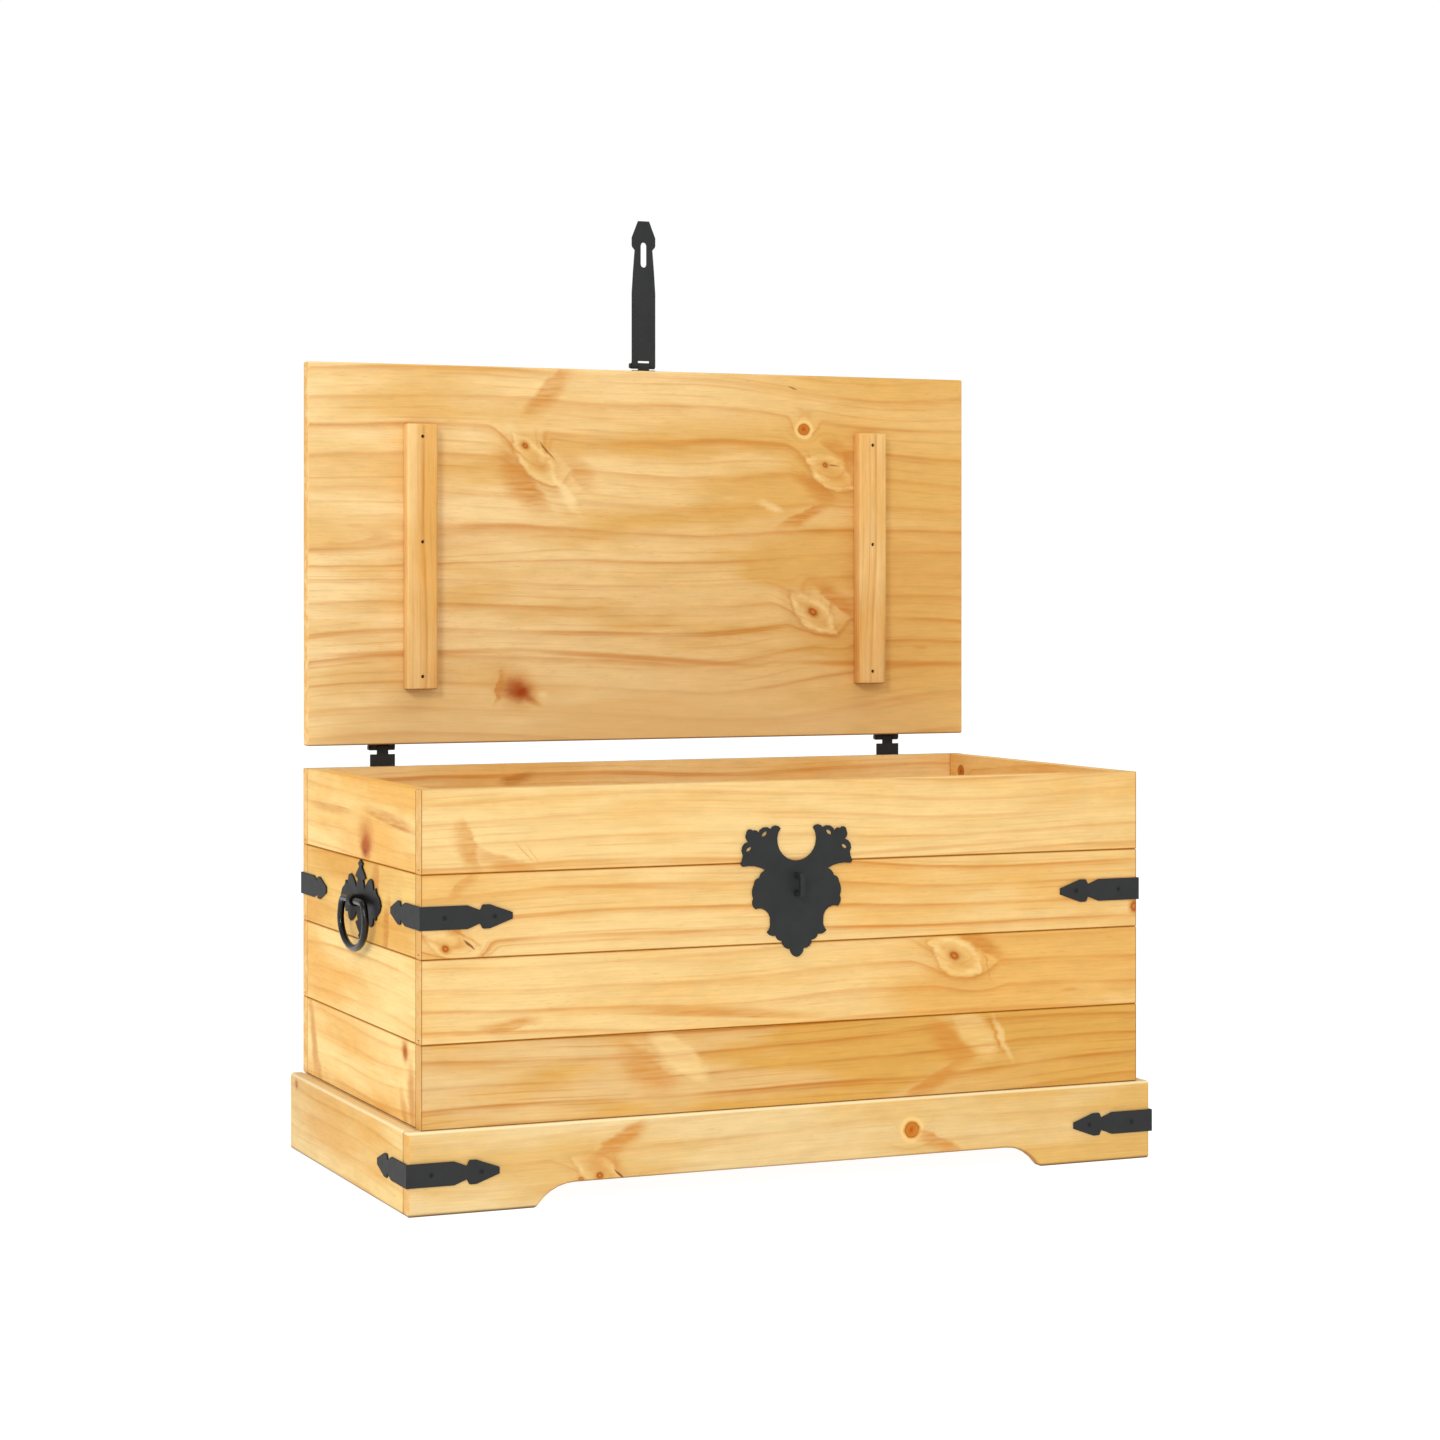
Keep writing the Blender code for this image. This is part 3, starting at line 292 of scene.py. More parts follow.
def marked(put, colour, mark, streaky, uneven):
    """The colour with one mark of the board's figure on it."""
    kind, (along, across, _), reach, strength = mark
    if kind == "swirl":
        # Tilted fibre beside a knot, darker, with one crisp edge and one that dies away
        above = put("Math", across, 0.0, operation="MAXIMUM")
        below = put("Math", across, 0.0, operation="MINIMUM")
        bent = put("CombineXYZ", along, put("Math", above, 3.2, below, operation="MULTIPLY_ADD"), 0.0)
        bent = put("VectorMath", bent, operation="LENGTH").outputs["Value"]
        mask = put("MapRange", bent, 0.35, 1.15, strength, 0.0, interpolation_type="SMOOTHSTEP")
        mask = put("Math", mask, streaky, operation="MULTIPLY")
        return put("Mix", mask, colour, TILTED_FIBRE, data_type="RGBA")
    if kind in STAIN:
        mask = put("MapRange", reach, STAIN_HEART[kind], 1.2, strength, 0.0,
                   interpolation_type="SMOOTHSTEP")
        if kind == "fleck":
            mask = put("Math", mask, streaky, operation="MULTIPLY")
        return put("Mix", mask, colour, STAIN[kind], data_type="RGBA")
    if kind == "core":
        heart = put("ValToRGB", put("Math", reach, CORE_SPREAD, operation="DIVIDE"), stops=CORE_TANS)
        mask = put("MapRange", reach, 0.8, 1.9, strength, 0.0, interpolation_type="SMOOTHSTEP")
        return put("Mix", mask, colour, heart, data_type="RGBA")
    if kind == "round":
        heart = put("ValToRGB", put("Math", reach, ROUND_SPREAD, operation="DIVIDE"), stops=ROUND_TANS)
        mask = put("MapRange", reach, 1.45, 2.0, strength, 0.0, interpolation_type="SMOOTHSTEP")
        return put("Mix", mask, colour, heart, data_type="RGBA")
    if kind in ("leaf", "slit"):
        # A lens with two points, 1 at its rim
        lens = put("Math", along, along, put("Math", across, operation="ABSOLUTE"),
                   operation="MULTIPLY_ADD")
        if kind == "leaf":
            return leaf_knot(put, colour, lens, across, reach, strength, uneven)
        # A pocket of bark, nearly black at its middle
        mask = put("MapRange", lens, 0.4, 1.2, strength, 0.0, interpolation_type="SMOOTHSTEP")
        return put("Mix", mask, colour, BARK, data_type="RGBA")
    # An arch and a fresh patch draw nothing of their own
    return colour


def pine(name, grain, tone, seed, pitch, rings, ageing, figure, seams, lacquer):
    """Plain-sawn pine, planed and sprayed with a clear satin lacquer: honey-yellow early wood,
    thin orange lines of late wood a ring apart, fine fibre, and red-brown knots that the
    rings flow round. The lacquer gives a low sheen that is a little duller on the late wood."""
    material, put = new_finish(name)
    axes = put("SeparateXYZ", put("TexCoord").outputs["Object"]).outputs
    lying = put("CombineXYZ", *(axes[axis] for axis in grain))

    def noise(along, across, shift, detail=2.0, rough=0.5):
        """Streaks of the wood that are so long along the grain and so wide across it."""
        stretched = put("VectorMath", lying, (along, across, across), operation="DIVIDE")
        return put("TexNoise", stretched, seed + shift, 1.0, detail, rough, noise_dimensions="4D")

    count, marks = rings_and_marks(put, noise, lying, pitch, figure)
    late = late_wood(put, noise, count, rings)
    colour, fibre = clear_wood(put, noise, axes[grain[0]], tone, late, ageing, marks)
    streaky = put("MapRange", noise(*STREAKS), 0.3, 0.7, 0.50, 1.15)
    uneven = put("MapRange", noise(*BLOTCHES), 0.38, 0.62, 0.15, 1.0)
    for mark in marks:
        colour = marked(put, colour, mark, streaky, uneven)
    # End grain drinks more lacquer and is browner, and faces that look down get painted shade in dull
    # brown
    facing = put("SeparateXYZ", put("TexCoord").outputs["Normal"]).outputs
    cut = put("MapRange", put("Math", facing[grain[0]], operation="ABSOLUTE"), 0.25, 0.60, 0.0, 0.95)
    cut = put("Math", cut, uneven, operation="MULTIPLY")
    colour = put("Mix", cut, colour, END_GRAIN, data_type="RGBA")
    painted_under_shade = put("MapRange", facing[2], -0.90, -0.35, 0.85, 0.0)
    colour = put("Mix", painted_under_shade, colour, PAINTED_UNDERSIDE_SHADE, data_type="RGBA")
    # Thin lines along the edges: stain and painted shade in the joints, painted shadow at the foot, a
    # painted highlight below the plinth's top, and dark lines at the ends
    for axis, place, (half_width, line_colour) in seams:
        off = put("Math", put("Math", axes[axis], place, operation="SUBTRACT"), operation="ABSOLUTE")
        shade = put("MapRange", off, 0.25 * half_width, half_width, 0.85, 0.0)
        colour = put("Mix", shade, colour, line_colour, data_type="RGBA")
    gloss = put("MapRange", late, 0.0, 1.0, *(SPRAYED if lacquer else BARE))
    height = put("Math", late, 0.6, fibre, operation="MULTIPLY_ADD")
    bump = put("Bump", Height=height, Strength=0.12, Distance=0.0004)
    put("OutputMaterial", put("BsdfPrincipled", Base_Color=colour, Roughness=gloss, IOR=LACQUER_IOR,
                              Specular_IOR_Level=GLARE, Normal=bump))
    return material


# ---------------------------------------------------------------- black iron

# The bumps of the enamel's orange peel are 0.9 mm apart, and its faint clouds 20 mm wide
PEEL_PITCH = 0.0009
CLOUD_WIDTH = 0.02
ENAMEL_IOR = 1.5


def black_iron(name, hex_colour, roughness, shine=0.40):
    """Cut and forged mild steel with a matt black baked enamel: flat charcoal with a fine
    orange peel, and a soft grey sheen where it faces the light."""
    material, put = new_finish(name)
    point = put("TexCoord").outputs["Object"]
    peel = put("TexNoise", point, Scale=1 / PEEL_PITCH, Detail=2.0)
    cloud = put("TexNoise", point, Scale=1 / CLOUD_WIDTH, Detail=3.0, Roughness=0.6)
    shade = put("MapRange", cloud, 0.3, 0.7, 0.85, 1.15)
    colour = put("VectorMath", linear(hex_colour)[:3], shade, operation="SCALE")
    gloss = put("MapRange", cloud, 0.3, 0.7, roughness - 0.04, roughness + 0.05)
    bump = put("Bump", Height=peel, Strength=0.25, Distance=0.00006)
    put("OutputMaterial", put("BsdfPrincipled", Base_Color=colour, Roughness=gloss, IOR=ENAMEL_IOR,
                              Specular_IOR_Level=shine, Normal=bump))
    return material


# ---------------------------------------------------------------- making pieces

# Turns up to the first angle look smooth, faces that are level to the second are made one,
# and turns sharper than the third are eased
SMOOTH_TURN = math.radians(20)
LEVEL = math.radians(0.5)
ARRIS = math.radians(35)
SAME_POINT = 0.000001


def placed(name, data):
    """A thing of this name in the scene."""
    thing = bpy.data.objects.new(name, data)
    scene.collection.objects.link(thing)
    return thing


def taken_away(thing):
    """Takes a rough piece or a tool out of the scene, with its mesh."""
    mesh = thing.data
    bpy.data.objects.remove(thing)
    bpy.data.meshes.remove(mesh)


def shown_piece(name, mesh, body, stands_for=()):
    """Puts a finished mesh in the scene, riding on its body."""
    piece = placed(name, mesh)
    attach(piece, body)
    if stands_for:
        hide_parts(*stands_for)


def cut_out(piece, tool):
    """Cuts the shape of the tool out of the piece."""
    hole = piece.modifiers.new("hole", "BOOLEAN")
    hole.operation = "DIFFERENCE"
    hole.object = tool


def settled(piece):
    """The piece's mesh with its modifiers applied, and the rough piece taken away."""
    graph = bpy.context.evaluated_depsgraph_get()
    mesh = bpy.data.meshes.new_from_object(piece.evaluated_get(graph), depsgraph=graph)
    taken_away(piece)
    return mesh


def crisp(mesh):
    """Smooth over shallow turns and sharp at every real edge."""
    mesh.shade_smooth()
    mesh.set_sharp_from_angle(angle=SMOOTH_TURN)
    return mesh


def eased(node, radius, segments=2, drill=None):
    """A node's mesh with whole flat faces and its arrises rounded, then drilled if it is given a tool."""
    shape = bmesh.new()
    shape.from_mesh(nodes[node].data)
    bmesh.ops.remove_doubles(shape, verts=shape.verts, dist=SAME_POINT)
    bmesh.ops.dissolve_limit(shape, angle_limit=LEVEL, verts=shape.verts, edges=shape.edges)
    mesh = bpy.data.meshes.new(node + "_eased")
    shape.to_mesh(mesh)
    shape.free()
    rough = placed(node + "_rough", mesh)
    bevel = rough.modifiers.new("ease", "BEVEL")
    bevel.width = radius
    bevel.segments = segments
    bevel.limit_method = "ANGLE"
    bevel.angle_limit = ARRIS
    if drill:
        cut_out(rough, drill)
    mesh = settled(rough)
    if drill:
        taken_away(drill)
    return crisp(mesh)


def turned(profile, sides):
    """The points and faces of a profile of radius and height pairs turned about Z, closed at both ends."""
    points, faces = [], []
    for radius, height in profile:
        for n in range(sides):
            angle = 2 * math.pi * n / sides
            points.append(Vector((radius * math.cos(angle), radius * math.sin(angle), height)))
    for row in range(len(profile) - 1):
        for n in range(sides):
            a, b = row * sides + n, row * sides + (n + 1) % sides
            faces.append((a, b, b + sides, a + sides))
    faces.append(tuple(range(sides - 1, -1, -1)))
    last = (len(profile) - 1) * sides
    faces.append(tuple(range(last, last + sides)))
    return points, faces


def repeated(name, points, faces, spots):
    """A mesh with a copy of the shape at each spot, its Z turned to face outward there."""
    all_points, all_faces = [], []
    for place, outward in spots:
        turn = Vector((0, 0, 1)).rotation_difference(outward)
        start = len(all_points)
        all_points += [turn @ point + place for point in points]
        all_faces += [tuple(start + corner for corner in face) for face in faces]
    mesh = bpy.data.meshes.new(name)
    mesh.from_pydata(all_points, [], all_faces)
    return mesh


# ---------------------------------------------------------------- the boards

# Figure of each board: kind, along, across, half length, half width, turn in degrees, strength.
# A leaf, core or round is a knot, a slit is a pocket of bark, a swirl is tilted fibre, an arch
# bends the rings, fresh wood stays pale, and the other kinds are stains
board_figure = {
    "lid_panel": [
        # A long pale band along the lid's lower part is painted light, where the chest's body shades the
        # lid
        ("pale", -0.060, 0.495, 0.600, 0.075, 0, 0.42),
        ("fresh", 0.020, 0.905, 0.300, 0.045, 0, 0.45),
        ("fresh", 0.400, 0.880, 0.130, 0.040, 0, 0.20),
        ("streak", 0.400, 0.700, 0.130, 0.070, 0, 0.14),
        ("slit", 0.196, 0.923, 0.007, 0.0012, -20, 0.70),
        ("arch", -0.430, 0.715, 0.370, 0.050, 0, 1.0),
        ("swirl", -0.165, 0.803, 0.056, 0.031, -50, 0.86),
        ("swirl", -0.098, 0.812, 0.040, 0.023, 130, 0.51),
        ("leaf", -0.150, 0.826, 0.044, 0.018, -48, 0.85),
        ("pale", -0.112, 0.785, 0.034, 0.009, -55, 0.60),
        ("pale", -0.183, 0.862, 0.018, 0.010, -50, 0.30),
        ("core", -0.164, 0.844, 0.006, 0.0045, -30, 1.0),
        ("slit", -0.135, 0.838, 0.017, 0.0013, -48, 0.75),
        ("swirl", -0.138, 0.913, 0.050, 0.024, 47, 0.75),
        ("round", 0.212, 0.871, 0.0075, 0.0075, 0, 1.0),
        ("swirl", 0.229, 0.801, 0.040, 0.018, -32, 0.93),
        ("swirl", 0.259, 0.843, 0.037, 0.016, 148, 0.71),
        ("leaf", 0.250, 0.816, 0.038, 0.020, -30, 0.85),
        ("slit", 0.248, 0.826, 0.017, 0.0012, -5, 0.7),
        ("core", 0.242, 0.826, 0.005, 0.004, 0, 1.0),
        ("swirl", 0.211, 0.763, 0.045, 0.014, 24, 1.00),
        ("pale", 0.168, 0.772, 0.020, 0.006, -20, 0.5),
        ("swirl", 0.255, 0.652, 0.048, 0.019, 141, 0.86),
        ("leaf", 0.226, 0.636, 0.043, 0.018, -39, 0.85),
        ("core", 0.224, 0.638, 0.009, 0.006, -39, 1.0),
        ("streak", -0.176, 0.546, 0.034, 0.026, -15, 0.60),
        ("streak", -0.155, 0.530, 0.016, 0.005, -20, 0.60),
        ("swirl", -0.199, 0.549, 0.026, 0.010, 75, 0.92),
        ("red", -0.174, 0.543, 0.021, 0.017, 0, 0.80),
        ("red", -0.169, 0.541, 0.009, 0.008, 20, 0.75),
        ("red", -0.158, 0.534, 0.010, 0.004, -20, 0.40),
        ("slit", -0.166, 0.545, 0.005, 0.0016, 30, 0.45),
        ("pale", -0.141, 0.538, 0.009, 0.006, 0, 0.50),
        ("streak", -0.300, 0.591, 0.150, 0.0040, 1, 0.55),
        ("streak", -0.010, 0.582, 0.190, 0.0045, -4, 0.70),
        ("streak", 0.330, 0.572, 0.170, 0.0050, -1, 0.70),
        ("streak", 0.379, 0.592, 0.012, 0.0025, 0, 0.5),
    ],
    "front_board_4": [
        ("swirl", -0.383, 0.392, 0.035, 0.019, -70, 0.72),
        ("swirl", -0.342, 0.375, 0.050, 0.020, -20, 0.62),
        ("streak", -0.322, 0.384, 0.019, 0.0011, -50, 0.45),
        ("streak", -0.312, 0.381, 0.016, 0.0010, -56, 0.35),
        ("streak", 0.150, 0.372, 0.240, 0.0030, 2, 0.35),
    ],
    "front_board_3": [
        ("swirl", -0.392, 0.296, 0.027, 0.010, -35, 0.64),
        ("leaf", -0.404, 0.286, 0.036, 0.014, -20, 0.55),
        ("core", -0.412, 0.284, 0.0055, 0.0045, -40, 1.0),
        ("slit", -0.386, 0.287, 0.010, 0.0018, -42, 0.9),
        ("core", 0.436, 0.296, 0.006, 0.008, 0, 1.0),
        ("swirl", -0.395, 0.354, 0.025, 0.012, 45, 0.64),
        ("streak", -0.220, 0.343, 0.120, 0.0025, -3, 0.35),
    ],
    "front_board_2": [
        ("swirl", 0.232, 0.258, 0.046, 0.020, 148, 0.95),
        ("leaf", 0.202, 0.246, 0.040, 0.021, -32, 0.85),
        ("streak", 0.240, 0.237, 0.026, 0.0016, -62, 0.55),
        ("core", 0.1985, 0.249, 0.0085, 0.006, -30, 1.0),
        ("swirl", -0.090, 0.196, 0.130, 0.010, 176, 0.75),
        ("swirl", -0.340, 0.196, 0.040, 0.010, 186, 0.79),
        ("streak", 0.350, 0.203, 0.014, 0.0030, 0, 0.5),
    ],
    "front_board_1": [
        ("swirl", -0.176, 0.146, 0.050, 0.034, -38, 0.75),
        ("fleck", -0.142, 0.154, 0.046, 0.015, -40, 0.46),
        ("swirl", 0.194, 0.156, 0.046, 0.026, -42, 0.95),
        ("fleck", 0.226, 0.160, 0.042, 0.019, -45, 0.40),
        ("streak", 0.254, 0.155, 0.028, 0.0026, -62, 0.60),
        ("pale", 0.263, 0.152, 0.034, 0.005, -62, 0.40),
        ("swirl", 0.172, 0.110, 0.048, 0.018, 28, 0.93),
    ],
    "plinth_front": [
        ("swirl", -0.214, 0.070, 0.040, 0.020, 32, 0.90),
        ("streak", -0.232, 0.042, 0.034, 0.014, -25, 0.60),
        ("leaf", -0.238, 0.036, 0.036, 0.014, -28, 0.55),
        ("core", -0.236, 0.030, 0.0055, 0.0045, 0, 1.0),
        ("core", -0.258, 0.028, 0.0040, 0.0030, 0, 0.8),
        ("slit", -0.213, 0.029, 0.009, 0.0016, -45, 0.9),
        ("round", 0.143, 0.054, 0.009, 0.009, 0, 1.0),
        ("swirl", 0.176, 0.040, 0.038, 0.014, -25, 0.80),
    ],
    "left_board_4": [
        ("streak", -0.023, 0.390, 0.034, 0.028, 0, 0.75),
        ("rust", -0.023, 0.380, 0.022, 0.018, 0, 1.0),
        ("rust", -0.021, 0.375, 0.012, 0.010, 0, 1.0),
        ("slit", -0.021, 0.374, 0.006, 0.004, 0, 0.6),
        ("swirl", 0.115, 0.416, 0.100, 0.010, 0, 0.69),
        ("swirl", -0.110, 0.412, 0.106, 0.013, 184, 0.86),
    ],
    "left_board_3": [
        ("swirl", -0.062, 0.335, 0.043, 0.026, 100, 0.80),
        ("swirl", -0.105, 0.295, 0.043, 0.021, 100, 0.86),
    ],
    "left_board_1": [
        ("streak", -0.167, 0.170, 0.016, 0.018, 0, 0.60),
        ("rust", -0.167, 0.168, 0.010, 0.011, 0, 0.95),
        ("streak", -0.192, 0.122, 0.046, 0.018, 78, 0.75),
        ("streak", -0.168, 0.100, 0.034, 0.012, 60, 0.55),
        ("streak", 0.190, 0.140, 0.060, 0.014, 75, 0.65),
        ("streak", 0.168, 0.108, 0.045, 0.010, 60, 0.45),
    ],
    "plinth_left": [("core", 0.206, 0.080, 0.006, 0.005, 0, 0.9)],
    "right_board_4": [("round", 0.184, 0.433, 0.008, 0.007, 0, 1.0)],
    "right_board_2": [
        ("swirl", 0.030, 0.218, 0.050, 0.026, -32, 0.86),
        ("leaf", 0.050, 0.226, 0.040, 0.019, -30, 0.85),
        ("core", 0.042, 0.233, 0.007, 0.005, 0, 1.0),
    ],
    "back_board_4": [("swirl", -0.178, 0.438, 0.027, 0.013, 10, 1.00)],
    "back_board_3": [
        ("swirl", -0.270, 0.310, 0.050, 0.023, -35, 0.79),
        ("leaf", -0.250, 0.322, 0.040, 0.018, -35, 0.85),
        ("core", -0.256, 0.328, 0.006, 0.005, 0, 1.0),
    ],
    "back_board_2": [("round", 0.150, 0.220, 0.012, 0.010, 0, 1.0)],
}

# Looks of the boards that differ from their neighbours, by how their names start: the tone,
# how much warmer the left and the right end are, and how strong the lines of the rings are
board_looks = {
    "lid_panel": (LID_TONE, (-0.10, 0.95), 0.90),
    "batten": (BATTEN_TONE, (0.1, 0.1), 1.0),
    "front_board_4": (FRONT_TONE, (-0.10, 0.25), 0.80),
    "front_board_3": (FRONT_TONE, (0.0, 0.25), 1.10),
    "front_board_2": (FRONT_TONE, (0.0, 0.50), 0.70),
    "front_board_1": (LOW_TONE, (0.15, 1.0), 1.30),
    "back_board": (BACK_TONE_WITH_PAINTED_LIGHT, (0.1, 0.1), 0.90),
    "left_board_3": (WARM_SIDE_TONE, (0.1, 0.1), 0.60),
    "plinth_left": (PLINTH_SIDE_TONE, (0.1, 0.1), 0.60),
    "plinth_front": (PLINTH_TONE, (0.0, 0.45), 0.35),
    "plinth_back": (PLINTH_TONE, (0.1, 0.1), 0.45),
    "rail": (RAW_TONE, (0.1, 0.1), 0.90),
    "bottom": (RAW_TONE, (0.1, 0.1), 0.90),
}
side_looks = (SIDE_TONE, (0.1, 0.1), 0.60)

# The rows of boards, how far apart the rings are on a face, and how far arrises are eased
ROW_HEIGHT = 0.0908
LAST_ROW = 4
RING_PITCH = 0.024
LID_RING_PITCH = 0.034
BOARD_ARRIS = 0.0003
PLINTH_ARRIS = 0.0016
# The noises of one board are this far from those of the next
FIRST_SEED = 1.7
SEED_STEP = 5.3

# Thin lines along the edges of boards: half width and colour. The pale one is a painted highlight on the
# plinth's rounded top arris and runs a little below the top of the plinth
# Painted shadow: a dark band along the foot of the plinth where it stands on the floor
PAINTED_FOOT_SHADOW = (0.0040, "#54300F")
PAINTED_TOP_HIGHLIGHT = (0.0022, "#FCE8B8")
LID_FOOT = (0.0022, "#80501E")
# Dark in the V joints between rows: partly stain that gathers there, partly painted shade in the grooves
JOINT_STAIN_AND_SHADE = (0.0015, "#BC7814")
SIDE_END = (0.0018, "#80501E")
FRONT_END = (0.0007, "#80501E")
PAINTED_HIGHLIGHT_DEPTH = 0.0012


def board_seams(node):
    """The thin lines along a board's edges, each as its axis, its place, and its width and
    colour: stain and painted shade in the V joints, dark lines where boards meet at the ends and along the
    lid's lower edge, painted shadow at the foot, and a painted highlight below the plinth's top."""
    low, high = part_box(node)
    lines = []
    if node.startswith("plinth"):
        lines += [(2, 0.0, PAINTED_FOOT_SHADOW), (2, high.z - PAINTED_HIGHLIGHT_DEPTH, PAINTED_TOP_HIGHLIGHT)]
    if node == "lid_panel":
        lines += [(2, low.z, LID_FOOT)]
    wall = "_board_" in node
    if node.startswith(("left", "right", "plinth_left", "plinth_right")):
        lines += [(1, low.y, SIDE_END), (1, high.y, SIDE_END)]
    elif wall:
        lines += [(0, low.x + FRONT_END[0], FRONT_END), (0, high.x - FRONT_END[0], FRONT_END)]
    if wall:
        row = int(node[-1])
        lines += [(2, ROW_HEIGHT * joint, JOINT_STAIN_AND_SHADE) for joint in (row, row + 1) if 1 < joint <= LAST_ROW]
    return lines


def board_grain(node):
    """Which way the grain of a board runs."""
    if node.startswith("batten"):
        return ALONG_Z
    if node == "bottom_board":
        return FLAT_X
    return ALONG_Y if "left" in node or "right" in node else ALONG_X


def dress_boards():
    """Every board as an eased copy in its own piece of pine."""
    wood = [n for n in nodes if nodes[n].data.materials[0].name != "iron"]
    for number, node in enumerate(sorted(wood)):
        raw = node.startswith("rail") or node == "bottom_board"
        looks = [board_looks[start] for start in board_looks if node.startswith(start)]
        tone, ageing, rings = (looks + [side_looks])[0]
        material = pine("lacquered_pine_" + node, board_grain(node), tone, SEED_STEP * number + FIRST_SEED,
                        pitch=LID_RING_PITCH if node == "lid_panel" else RING_PITCH, rings=rings,
                        ageing=ageing, figure=board_figure.get(node, ()),
                        seams=board_seams(node), lacquer=not raw)
        mesh = eased(node, PLINTH_ARRIS if node.startswith("plinth") else BOARD_ARRIS)
        mesh.materials.clear()
        mesh.materials.append(material)
        shown_piece("planed_" + node, mesh, nodes[node]["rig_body"], [node])


dress_boards()


# ---------------------------------------------------------------- the iron

# A countersunk cross-head screw and the sink that it lies in, as radius and height pairs from
# the foot to the rim. The face of the plate is at height 0
SCREW_HEAD = ((0.0012, -0.0016), (0.0027, -0.00025), (0.0025, -0.00005))
SCREW_SINK = ((0.0014, -0.0017), (0.0029, -0.0002), (0.0029, 0.0005))
SCREW_SIDES = 20
# One slot of the cross: its length, width and depth, the length of its foot as a share, and how
# far down its middle lies as a share of the depth
SLOT_SIZE = (0.0031, 0.0008, 0.0014)
SLOT_FOOT = 0.45
SLOT_SUNK = 0.35

# Screws of a corner strap from its corner, and of a handle plate from its middle
STRAP_SCREWS = (0.028, 0.0845)
HANDLE_SCREW = 0.058
# Screws of the fittings on the back, as how far across from the middle and up from the pin
BACK_SCREWS = {
    "hinge_lid_leaf": ((-0.009, 0.022), (0.009, 0.022), (0, 0.060), (0, 0.124)),
    "hinge_back_leaf": ((-0.009, -0.022), (0.009, -0.022), (0, -0.058)),
    "hasp_plate": ((-0.009, -0.022), (0.009, -0.022), (0, -0.062)),
}
# The outer faces of the fittings on the side and on the back
outer_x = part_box("strap_back_right")[1].x
outer_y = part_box("strap_back_left")[1].y


def screw_spots(node):
    """The place of each screw in a fitting, on its outer face, and the way that it faces."""
    low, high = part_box(node)
    middle = (low + high) / 2
    side = -1 if node.endswith("left") else 1
    sideways = Vector((side, 0, 0))
    if node.startswith("strap"):
        back = 1 if "back" in node else -1
        backways = Vector((0, back, 0))
        corner = Vector((high.x if side > 0 else low.x, high.y if back > 0 else low.y, middle.z))
        return ([(corner - sideways * far, backways) for far in STRAP_SCREWS]
                + [(corner - backways * far, sideways) for far in STRAP_SCREWS])
    if node.startswith("handle_plate"):
        return [(Vector((outer_x * side, middle.y + far, middle.z)), sideways)
                for far in (-HANDLE_SCREW, HANDLE_SCREW)]
    places = BACK_SCREWS.get(node.removesuffix("_left").removesuffix("_right"), ())
    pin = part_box("hasp_pin" if node.startswith("hasp") else "hinge_pin_left")
    level = (pin[0].z + pin[1].z) / 2
    return [(Vector((middle.x + x, outer_y, level + z)), Vector((0, 1, 0))) for x, z in places]


def screw_shape():
    """A countersunk head with a cross cut in it, its rim level with the plate."""
    points, faces = turned(SCREW_HEAD, SCREW_SIDES)
    mesh = bpy.data.meshes.new("head")
    mesh.from_pydata(points, [], faces)
    head = placed("head", mesh)
    length, width, depth = SLOT_SIZE
    tools = []
    for turn in (0, math.pi / 2):
        shape = bmesh.new()
        bmesh.ops.create_cube(shape, size=1.0)
        for vert in shape.verts:
            share = 1.0 if vert.co.z > 0 else SLOT_FOOT
            vert.co = (vert.co.x * length * share, vert.co.y * width, (vert.co.z - SLOT_SUNK) * depth)
        bmesh.ops.rotate(shape, verts=shape.verts, matrix=Matrix.Rotation(turn, 3, "Z"))
        blade = bpy.data.meshes.new("blade")
        shape.to_mesh(blade)
        shape.free()
        tools.append(placed("blade", blade))
        cut_out(head, tools[-1])
    mesh = settled(head)
    for tool in tools:
        taken_away(tool)
    points = [vert.co.copy() for vert in mesh.vertices]
    faces = [tuple(face.vertices) for face in mesh.polygons]
    bpy.data.meshes.remove(mesh)
    return points, faces


# The bail's round bar. Its top is given as shares of its half width and its drop, and below
# its widest place it is half an oval, with this many turns to a quarter
BAIL_RADIUS = 0.004
BAIL_SIDES = 16
BAIL_HALF_WIDTH = 0.0484
BAIL_DROP = 0.0535
BAIL_TURNS = 14
BAIL_TOP = ((0.0, 0.0), (0.35, 0.0), (0.70, 0.0), (0.80, 0.015), (0.875, 0.07), (0.93, 0.16))
BAIL_WIDEST = 0.39


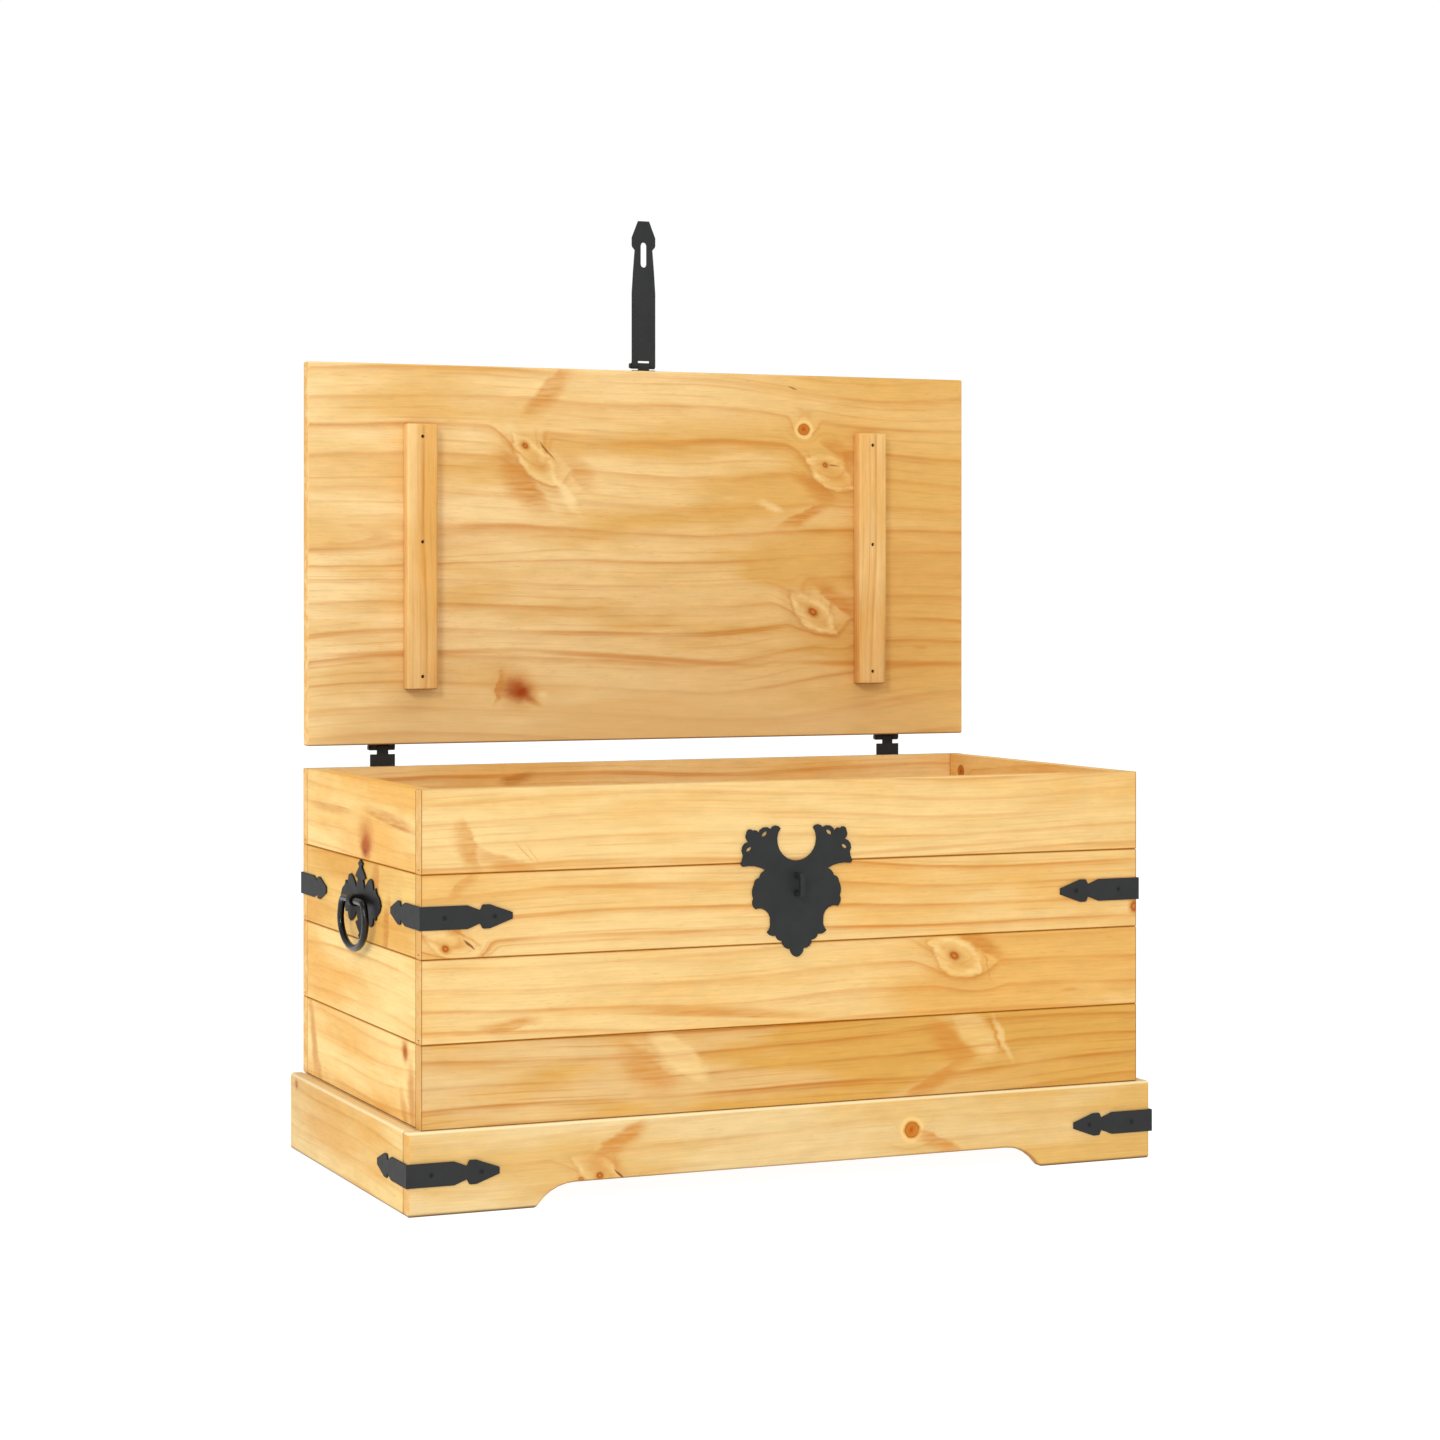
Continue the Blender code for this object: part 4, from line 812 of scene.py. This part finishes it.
def bail_mesh(node):
    """A bail of round bar, bent to a flat-topped oval, with a fine smooth skin."""
    half = [(y * BAIL_HALF_WIDTH, -z * BAIL_DROP) for y, z in BAIL_TOP]
    widest = -BAIL_WIDEST * BAIL_DROP
    for n in range(BAIL_TURNS + 1):
        angle = math.pi / 2 * n / BAIL_TURNS
        half.append((BAIL_HALF_WIDTH * math.cos(angle), widest - (BAIL_DROP + widest) * math.sin(angle)))
    path = half + [(-y, z) for y, z in reversed(half[1:-1])]
    low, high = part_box(node)
    pivot = Vector(((low.x + high.x) / 2, (low.y + high.y) / 2, high.z - BAIL_RADIUS))
    sideways = Vector((1, 0, 0))
    points, faces = [], []
    for n, (y, z) in enumerate(path):
        before, after = path[n - 1], path[(n + 1) % len(path)]
        along = Vector((0, after[0] - before[0], after[1] - before[1])).normalized()
        across = along.cross(sideways)
        here, there = n * BAIL_SIDES, (n + 1) % len(path) * BAIL_SIDES
        for m in range(BAIL_SIDES):
            angle = 2 * math.pi * m / BAIL_SIDES
            skin = (sideways * math.cos(angle) + across * math.sin(angle)) * BAIL_RADIUS
            points.append(pivot + Vector((0, y, z)) + skin)
            o = (m + 1) % BAIL_SIDES
            faces.append((here + m, here + o, there + o, there + m))
    mesh = bpy.data.meshes.new(node + "_bar")
    mesh.from_pydata(points, [], faces)
    mesh.shade_smooth()
    return mesh


# How far the edges of fittings are filed
FITTING_EDGE = 0.00025


def dress_iron():
    """Every fitting as a copy with filed edges, drilled for its screws, in black enamel."""
    plate = black_iron("matt_black_enamel_on_steel", "#282929", 0.60, 0.26)
    handle = black_iron("black_enamel_on_pressed_steel", "#0B0C0D", 0.50, 0.22)
    bail = black_iron("glossy_black_enamel_on_steel_bar", "#060607", 0.24, 0.40)
    # The screws are darker than the plates: blackened steel, darkened further as painted shade for the
    # recesses that the batten screws sit in
    screw = black_iron("blackened_steel", "#0E0E0F", 0.48)
    head_points, head_faces = screw_shape()
    sink_points, sink_faces = turned(SCREW_SINK, SCREW_SIDES)
    for node in sorted(nodes):
        if nodes[node].data.materials[0].name != "iron":
            continue
        body = nodes[node]["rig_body"]
        if "bail" in node:
            mesh = bail_mesh(node)
            mesh.materials.append(bail)
            shown_piece("forged_" + node, mesh, body, [node])
            continue
        if "screw" in node or "pin" in node:
            nodes[node].material_slots[0].material = screw
            continue
        spots = screw_spots(node)
        drill = None
        if spots:
            drill = placed("drill", repeated("drill", sink_points, sink_faces, spots))
            mesh = crisp(repeated("screws_" + node, head_points, head_faces, spots))
            mesh.materials.append(screw)
            shown_piece("screws_" + node, mesh, body)
        mesh = eased(node, FITTING_EDGE, 1, drill)
        mesh.materials.clear()
        mesh.materials.append(handle if "handle" in node else plate)
        shown_piece("filed_" + node, mesh, body, [node])


dress_iron()


# ---------------------------------------------------------------- studio

FLOOR_REACH = 60
# The table's own light, and the air's as the camera sees it and as it lights the chest: each
# is as bright as it takes for the floor and what is behind the chest to come out white
TABLE_GLOW = 0.95
AIR_SEEN = 1.02
AIR_GLOW = 0.50
# Soft square lights: place, what each is aimed at, side in metres and watts
lamps = {
    "key": ((-4.6, -5.4, 4.2), (0, 0, 0.5), 1.7, 204),
    "front": ((-0.9, -7.0, 1.6), (0, 0, 0.6), 3.2, 62),
    "left": ((-4.2, 0.4, 1.4), (0, 0, 0.4), 2.0, 26),
    "overhead": ((0.3, -0.3, 4.0), (0, 0, 0.3), 2.5, 44),
}
# The camera, worked out from the edges of the chest in the photograph. It looks level
CAMERA_PLACE = (-1.4759, -3.4393, 0.6689)
CAMERA_HEADING = -23.272
CAMERA_LENS = 79.05
CAMERA_FILM = 36
CAMERA_SHIFT = -0.0916


def studio():
    """White floor and white air, soft lights of which the front left one is strongest, and the camera."""
    # A translucent white table lit from below, so the floor is white and nearly shadowless
    material, put = new_finish("white_light_table")
    put("OutputMaterial", put("BsdfPrincipled", Base_Color="#808080", Roughness=0.9,
                              Emission_Color="#FFFFFF", Emission_Strength=TABLE_GLOW))
    mesh = bpy.data.meshes.new("floor")
    corners = [(x * FLOOR_REACH, y * FLOOR_REACH, 0) for x, y in ((-1, -1), (1, -1), (1, 1), (-1, 1))]
    mesh.from_pydata(corners, [], [(0, 1, 2, 3)])
    mesh.materials.append(material)
    placed("floor", mesh)
    world = bpy.data.worlds.new("white_air")
    world.use_nodes = True
    world.node_tree.nodes.clear()
    put = partial(add, world.node_tree)
    bright = put("MapRange", put("LightPath").outputs["Is Camera Ray"], 0.0, 1.0, AIR_GLOW, AIR_SEEN)
    put("OutputWorld", put("Background", "#FFFFFF", bright))
    scene.world = world
    for name, (place, aim, side, watts) in lamps.items():
        lamp = bpy.data.lights.new(name, "AREA")
        lamp.size = side
        lamp.energy = watts
        light = placed(name, lamp)
        light.location = place
        light.rotation_euler = (Vector(aim) - Vector(place)).to_track_quat("-Z", "Y").to_euler()
    camera = placed("camera", bpy.data.cameras.new("camera"))
    camera.location = CAMERA_PLACE
    camera.rotation_euler = (math.pi / 2, 0, math.radians(CAMERA_HEADING))
    camera.data.lens = CAMERA_LENS
    camera.data.sensor_width = CAMERA_FILM
    camera.data.shift_y = CAMERA_SHIFT
    scene.camera = camera
    scene.view_settings.view_transform = "Standard"


studio()
